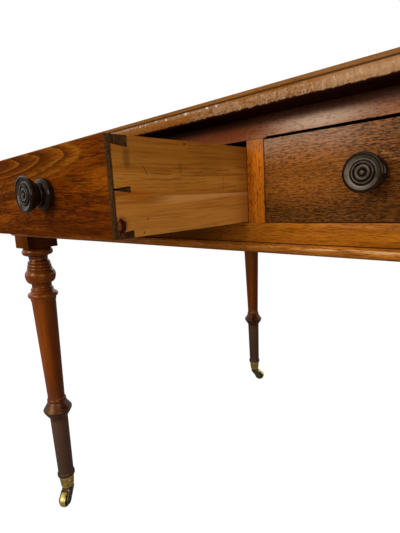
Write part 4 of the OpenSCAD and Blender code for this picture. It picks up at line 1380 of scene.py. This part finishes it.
def legOutline(values):
    block, bulb, ring = values["blockLow"], values["bulb"], values["ring"]
    topRadius, lowRadius = values["shaft"]
    points = [(0.0, block + 2), (20.4, block + 2), (20.5, block)]
    points += swell(block, block - 15.5, ring - 8.5, ring - 6, 7.2, 18)
    points += swell(block - 17, block - 27, 19.6, 19.2, -1.8)
    points += swell(block - 27.5, block - 33, 19.8, 20.6, 0.9)
    points += swell(block - 33.5, block - 39.5, 21, 22, 1.2)
    points += swell(block - 40, block - 45, 22.6, 23.4, 1)
    points += swell(block - 46, block - 72, ring - 4.6, ring - 9.2, 6.75, 22)
    points += swell(block - 72.5, block - 81, 19.6, 19.4, -0.7)
    points += swell(block - 81.5, block - 86, 19.8, 20.8, 1.3)
    points += [(ring - 4.7, block - 90.6), (ring - 4.1, block - 91)]
    points += swell(block - 91.5, block - 101, ring - 3.4, ring - 3.4, 3.3, 14)
    points += [(topRadius + 1.2, block - 102.6), (topRadius + 1.2, block - 106.4)]
    points += [(topRadius + 0.7, block - 107.6), (topRadius + 0.1, block - 109.4)]
    points += straight((topRadius, block - 110), (lowRadius, bulb + 26), 10)
    points += swell(bulb + 24, bulb + 18, lowRadius + 0.8, lowRadius + 1.4, 1.3)
    slope = ((17, 9.9), (14.4, 8.9), (10.4, 6.8), (6.8, 4.4), (3.4, 2.1), (1.9, 1.1), (0.9, 0.4), (-0.2, 0.0),
             (-1.1, 0.1), (-2.1, 0.4), (-4.8, 1.6), (-8.6, 3.7), (-12.6, 6.3), (-16.4, 8.9), (-18.8, 10.2))
    points += [(ring - inward, bulb + height) for height, inward in slope]
    foot, ankle, lip = values["foot"], values["ankle"], values["lip"]
    points += straight((lowRadius + 1.2, bulb - 20.5), (ankle, foot + 9.5), 8)
    points += [(ankle + 0.3, foot + 8.4), (ankle + 1.2, foot + 7), (lip - 0.3, foot + 5.4), (lip, foot + 4.2),
               (lip, foot + 1), (lip - 0.5, foot + 0.1), (14.1, foot)]
    points += [(11.9, foot - 20.4), (0.0, foot - 20.4)]
    return points


def buildLegs(values):
    turned = turnOutline("Turned", legOutline(values), values["steps"])
    smoothFaces(turned, values["smooth"])
    woods = [shadedBlockSidePaint, legEdgePaint, blockFrontPaint, legPaint]
    for node in ("leg_front_left", "leg_front_right", "leg_back_left", "leg_back_right"):
        low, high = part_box(node)
        block = copyNode(node)
        limit = values["blockLow"] / 1000 - 0.00001
        chooseWhere(block, "VERT", lambda point: point.co.z < limit)
        bpy.ops.mesh.delete(type="VERT")
        bpy.ops.object.mode_set(mode="OBJECT")
        easeEdges(block, values["ease"], values["shortest"])
        # faces towards the front or back take the front's wood; the sides keep the darker copy, a painted
        # shade
        for face in block.data.polygons:
            if abs(face.normal.y) > 0.9:
                face.material_index = woods.index(blockFrontPaint)
        shaft = copyPiece(turned, node + "_turned")
        putInPlace(shaft, ((low.x + high.x) / 2, (low.y + high.y) / 2, 0))
        standFor(block, node, woods)
        for wood in woods:
            shaft.data.materials.append(wood)
        for face in shaft.data.polygons:
            face.material_index = woods.index(legPaint)
        pickPiece(block)
        shaft.select_set(True)
        bpy.ops.object.join()
    bpy.data.objects.remove(turned)


buildLegs(legValues)
print("Legs built")


# Knobs

knobValues = {
    # radii and depths, in millimetres
    "face": 14.2,
    "base": 12.6,
    "out": 19.5,
    "peg": 5.5,
    "sink": 18.0,
    "steps": 96,
    "smooth": 32,
    "worn": {"left": 0.22, "right": 1.15},  # how much ring wear and painted reflection each drawer's knobs have
}


def knobOutline(values):
    face, base, out = values["face"], values["base"], values["out"]
    peg, sink = values["peg"], values["sink"]
    points = [(0.0, -sink), (peg, -sink), (peg, -0.02), (base - 2.4, 0.0)]
    points += swell(0.05, out * 0.34, base - 1.8, base - 2.4, 2.1, 18)
    points += [(base * 0.69, out * 0.355), (base * 0.67, out * 0.368)]
    points += swell(out * 0.38, out * 0.48, base * 0.68, base * 0.67, 0.8, 10)
    points += [(base * 0.64, out * 0.495), (base * 0.62, out * 0.51), (base * 0.625, out * 0.522)]
    points += swell(out * 0.53, out - 2.8, base * 0.64, face - 0.7, 1.2, 16)
    points += [(face - 0.75, out - 2.7)]
    points += swell(out - 2.6, out, face - 0.6, face - 1.2, 0.9, 14)
    # the dished face: share of its radius, depth
    dish = (
        (0.89, 0.02), (0.87, 0.3), (0.85, 0.75), (0.82, 1.0), (0.77, 1.4), (0.72, 1.62), (0.67, 1.7),
        (0.62, 1.65), (0.57, 1.45), (0.545, 1.05), (0.53, 0.8), (0.515, 0.72), (0.5, 0.74), (0.485, 0.95),
        (0.47, 1.3), (0.44, 1.34), (0.41, 1.15), (0.37, 0.92), (0.32, 0.8), (0.28, 0.8), (0.24, 0.95),
        (0.215, 1.3), (0.19, 1.48), (0.165, 1.46), (0.145, 1.2), (0.125, 0.8), (0.1, 0.52), (0.06, 0.36),
        (0.03, 0.31), (0.0, 0.3),
    )
    return points + [(face * radius, out - depth) for radius, depth in dish]


def buildKnobs(values):
    model = turnOutline("KnobModel", knobOutline(values), values["steps"])
    smoothFaces(model, values["smooth"])
    for node in ("left_knob_outer", "left_knob_inner", "right_knob_outer", "right_knob_inner"):
        low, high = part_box(node)
        spotX, spotZ = (low.x + high.x) / 2, (low.z + high.z) / 2
        knob = copyPiece(model, node + "_turned")
        putInPlace(knob, (spotX, low.y + values["out"] / 1000, spotZ), (math.pi / 2, 0, 0))
        worn = values["worn"][node.split("_")[0]]
        knobPaint = paintKnob("Ebonised_" + node, spotX, spotZ, low.y, worn, knobPaintValues)
        standFor(knob, node, [knobPaint])
    bpy.data.objects.remove(model)


buildKnobs(knobValues)
print("Knobs built")


# Flat pieces of the frame and the drawers, with eased and worn edges

endGrainReach = 0.0115  # how far from the ends of a drawer front its end grain shows
flatPieces = {
    # node: slot, materials, width of the eased edge, shortest edge that is eased
    "front_top_rail": ("frame_wood", [topRailPaint, darkEdgePaint], 0.0006, 0.03),
    "front_bottom_rail": ("frame_wood", [bottomRailPaint, rubbedPaint], 0.0005, 0.03),
    "front_divider": ("frame_wood", [dividerPaint, rubbedPaint], 0.0005, 0.02),
    "side_rail_left": ("frame_wood", [sideRailPaint, darkEdgePaint], 0.0005, 0.03),
    "side_rail_right": ("frame_wood", [sideRailPaint, darkEdgePaint], 0.0005, 0.03),
    "back_rail": ("frame_wood", [backRailPaint, darkEdgePaint], 0.0005, 0.03),
    "left_drawer_front": ("drawer_front_wood", [leftFrontPaint, frontEdgePaint, endGrainPaint], 0.0007, 0.03),
    "right_drawer_front": (
        "drawer_front_wood", [rightFrontPaint, frontEdgePaint, endGrainPaint], 0.0007, 0.03
    ),
    "left_drawer_side_inner": ("drawer_pine", [pineSidePaint, pinePaint], 0.0007, 0.05),
    "left_drawer_side_outer": ("drawer_pine", [pinePaint, pinePaint], 0.0007, 0.05),
    "right_drawer_side_inner": ("drawer_pine", [pinePaint, pinePaint], 0.0007, 0.05),
    "right_drawer_side_outer": ("drawer_pine", [pinePaint, pinePaint], 0.0007, 0.05),
    "left_drawer_back": ("drawer_pine", [pineAcrossPaint, pineAcrossPaint], 0.0006, 0.03),
    "right_drawer_back": ("drawer_pine", [pineAcrossPaint, pineAcrossPaint], 0.0006, 0.03),
}


def buildFlatPieces(pieces):
    for node, (slotName, materials, width, shortest) in pieces.items():
        piece = copyNode(node)
        easeEdges(piece, width, shortest)
        if endGrainPaint in materials:
            low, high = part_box(node)
            for face in piece.data.polygons:
                fromEnd = min(abs(face.center.x - low.x), abs(face.center.x - high.x))
                if abs(face.normal.x) > 0.9 and fromEnd < endGrainReach:
                    face.material_index = materials.index(endGrainPaint)
        standFor(piece, node, materials)


buildFlatPieces(flatPieces)
print("Flat pieces eased")


# Castors

castorValues = {
    # heights, radii and the wheel's width, in millimetres
    "cupLow": 36.0,
    "cupHigh": 66.0,
    "lowRadius": 13.0,
    "highRadius": 16.0,
    "pivotHole": 4.05,
    "wheel": 15.5,
    "axleHole": 3.05,
    "tread": 2.2,
    "width": 14.0,
    "steps": 64,
    "smooth": 30,
    # the fork's and the axle's eased edges: their width and the shortest edge that is eased, in metres
    "ease": 0.0005,
    "shortest": 0.004,
}


def cupOutline(values):
    low, high, hole = values["cupLow"], values["cupHigh"], values["pivotHole"]
    widening = (values["highRadius"] - values["lowRadius"]) / (high - low)

    def radius(height):
        return values["lowRadius"] + widening * (height - low)

    points = [(hole, low + 5), (hole, low), (10.6, low), (11.5, low + 0.3), (12.4, low + 1.4)]
    points += [(13.1, low + 3), (radius(low + 4.4), low + 4.4), (radius(low + 24.6), low + 24.6)]
    points += swell(low + 25, low + 26.6, radius(low + 25.5), radius(low + 26.4), 0.35, 6)
    points += [(radius(high - 3), high - 3.2), (16.2, high - 3), (16.3, high - 2.4), (16.3, high - 0.6)]
    return points + [(16.0, high), (14.2, high), (11.7, low + 5.05), (hole, low + 5)]


def wheelOutline(values):
    radius, half, hole = values["wheel"], values["width"] / 2, values["axleHole"]
    points = [(hole, -half), (5.6, -half), (6.0, -half + 0.4), (6.4, -half + 1.8)]
    points += [(radius - 3.6, -half + 1.8), (radius - 3.2, -half + 0.9), (radius - 2.4, -half + 0.6)]
    for step in range(-12, 13):
        share = step / 12
        points.append((radius - 1.8 * abs(share) ** 3, (half - 0.6) * share))
    points += [(outer, -across) for outer, across in reversed(points[:7])]
    return points + [(hole, -half)]


def buildCastors(values):
    cup = turnOutline("CupModel", cupOutline(values), values["steps"])
    smoothFaces(cup, values["smooth"])
    wheel = turnOutline("WheelModel", wheelOutline(values), values["steps"])
    smoothFaces(wheel, values["smooth"])
    for face in wheel.data.polygons:
        # the tread shows first, the wheel's sides second among its materials
        onTread = face.center.xy.length > (values["wheel"] - values["tread"]) / 1000
        face.material_index = 0 if onTread else 1
    joints = {joint["name"]: joint for joint in frame["joints"]}
    for corner in ("front_left", "front_right", "back_left", "back_right"):
        low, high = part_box("cup_" + corner)
        ring = copyPiece(cup, "cup_" + corner + "_turned")
        putInPlace(ring, ((low.x + high.x) / 2, (low.y + high.y) / 2, 0))
        standFor(ring, "cup_" + corner, [brassPaint])
        spin = joints["wheel_spin_" + corner]
        roller = copyPiece(wheel, "wheel_" + corner + "_turned")
        turn = Vector(spin["axis"]).to_track_quat("Z", "Y").to_euler()
        putInPlace(roller, spin["pos_m"], turn)
        standFor(roller, "wheel_" + corner, [treadPaint, blackPaint])
        for kind in ("fork_", "axle_"):
            part = copyNode(kind + corner)
            easeEdges(part, values["ease"], values["shortest"])
            standFor(part, kind + corner, [forkPaint, forkPaint])
    bpy.data.objects.remove(cup)
    bpy.data.objects.remove(wheel)


buildCastors(castorValues)
print("Castors built")


# Nodes that keep the frame's own shape

keptNodes = (
    (beadPaint, ("bead_front", "bead_back", "bead_left", "bead_right")),
    (innerPaint, ("runner_left", "runner_centre", "runner_right")),
    (innerPaint, ("kicker_left", "kicker_centre", "kicker_right")),
    (innerPaint, ("guide_left", "guide_centre", "guide_right")),
    (innerPaint, ("drawer_stops", "top_buttons")),
    (steelPaint, ("top_screws",)),
    (brassPaint, ("castor_screws",)),
    (pineAcrossPaint, ("left_drawer_bottom", "right_drawer_bottom")),
)


def dressNodes(table):
    for material, nodes in table:
        for node in nodes:
            for place in bpy.data.objects[node].material_slots:
                place.material = material


dressNodes(keptNodes)
print("Kept nodes dressed")
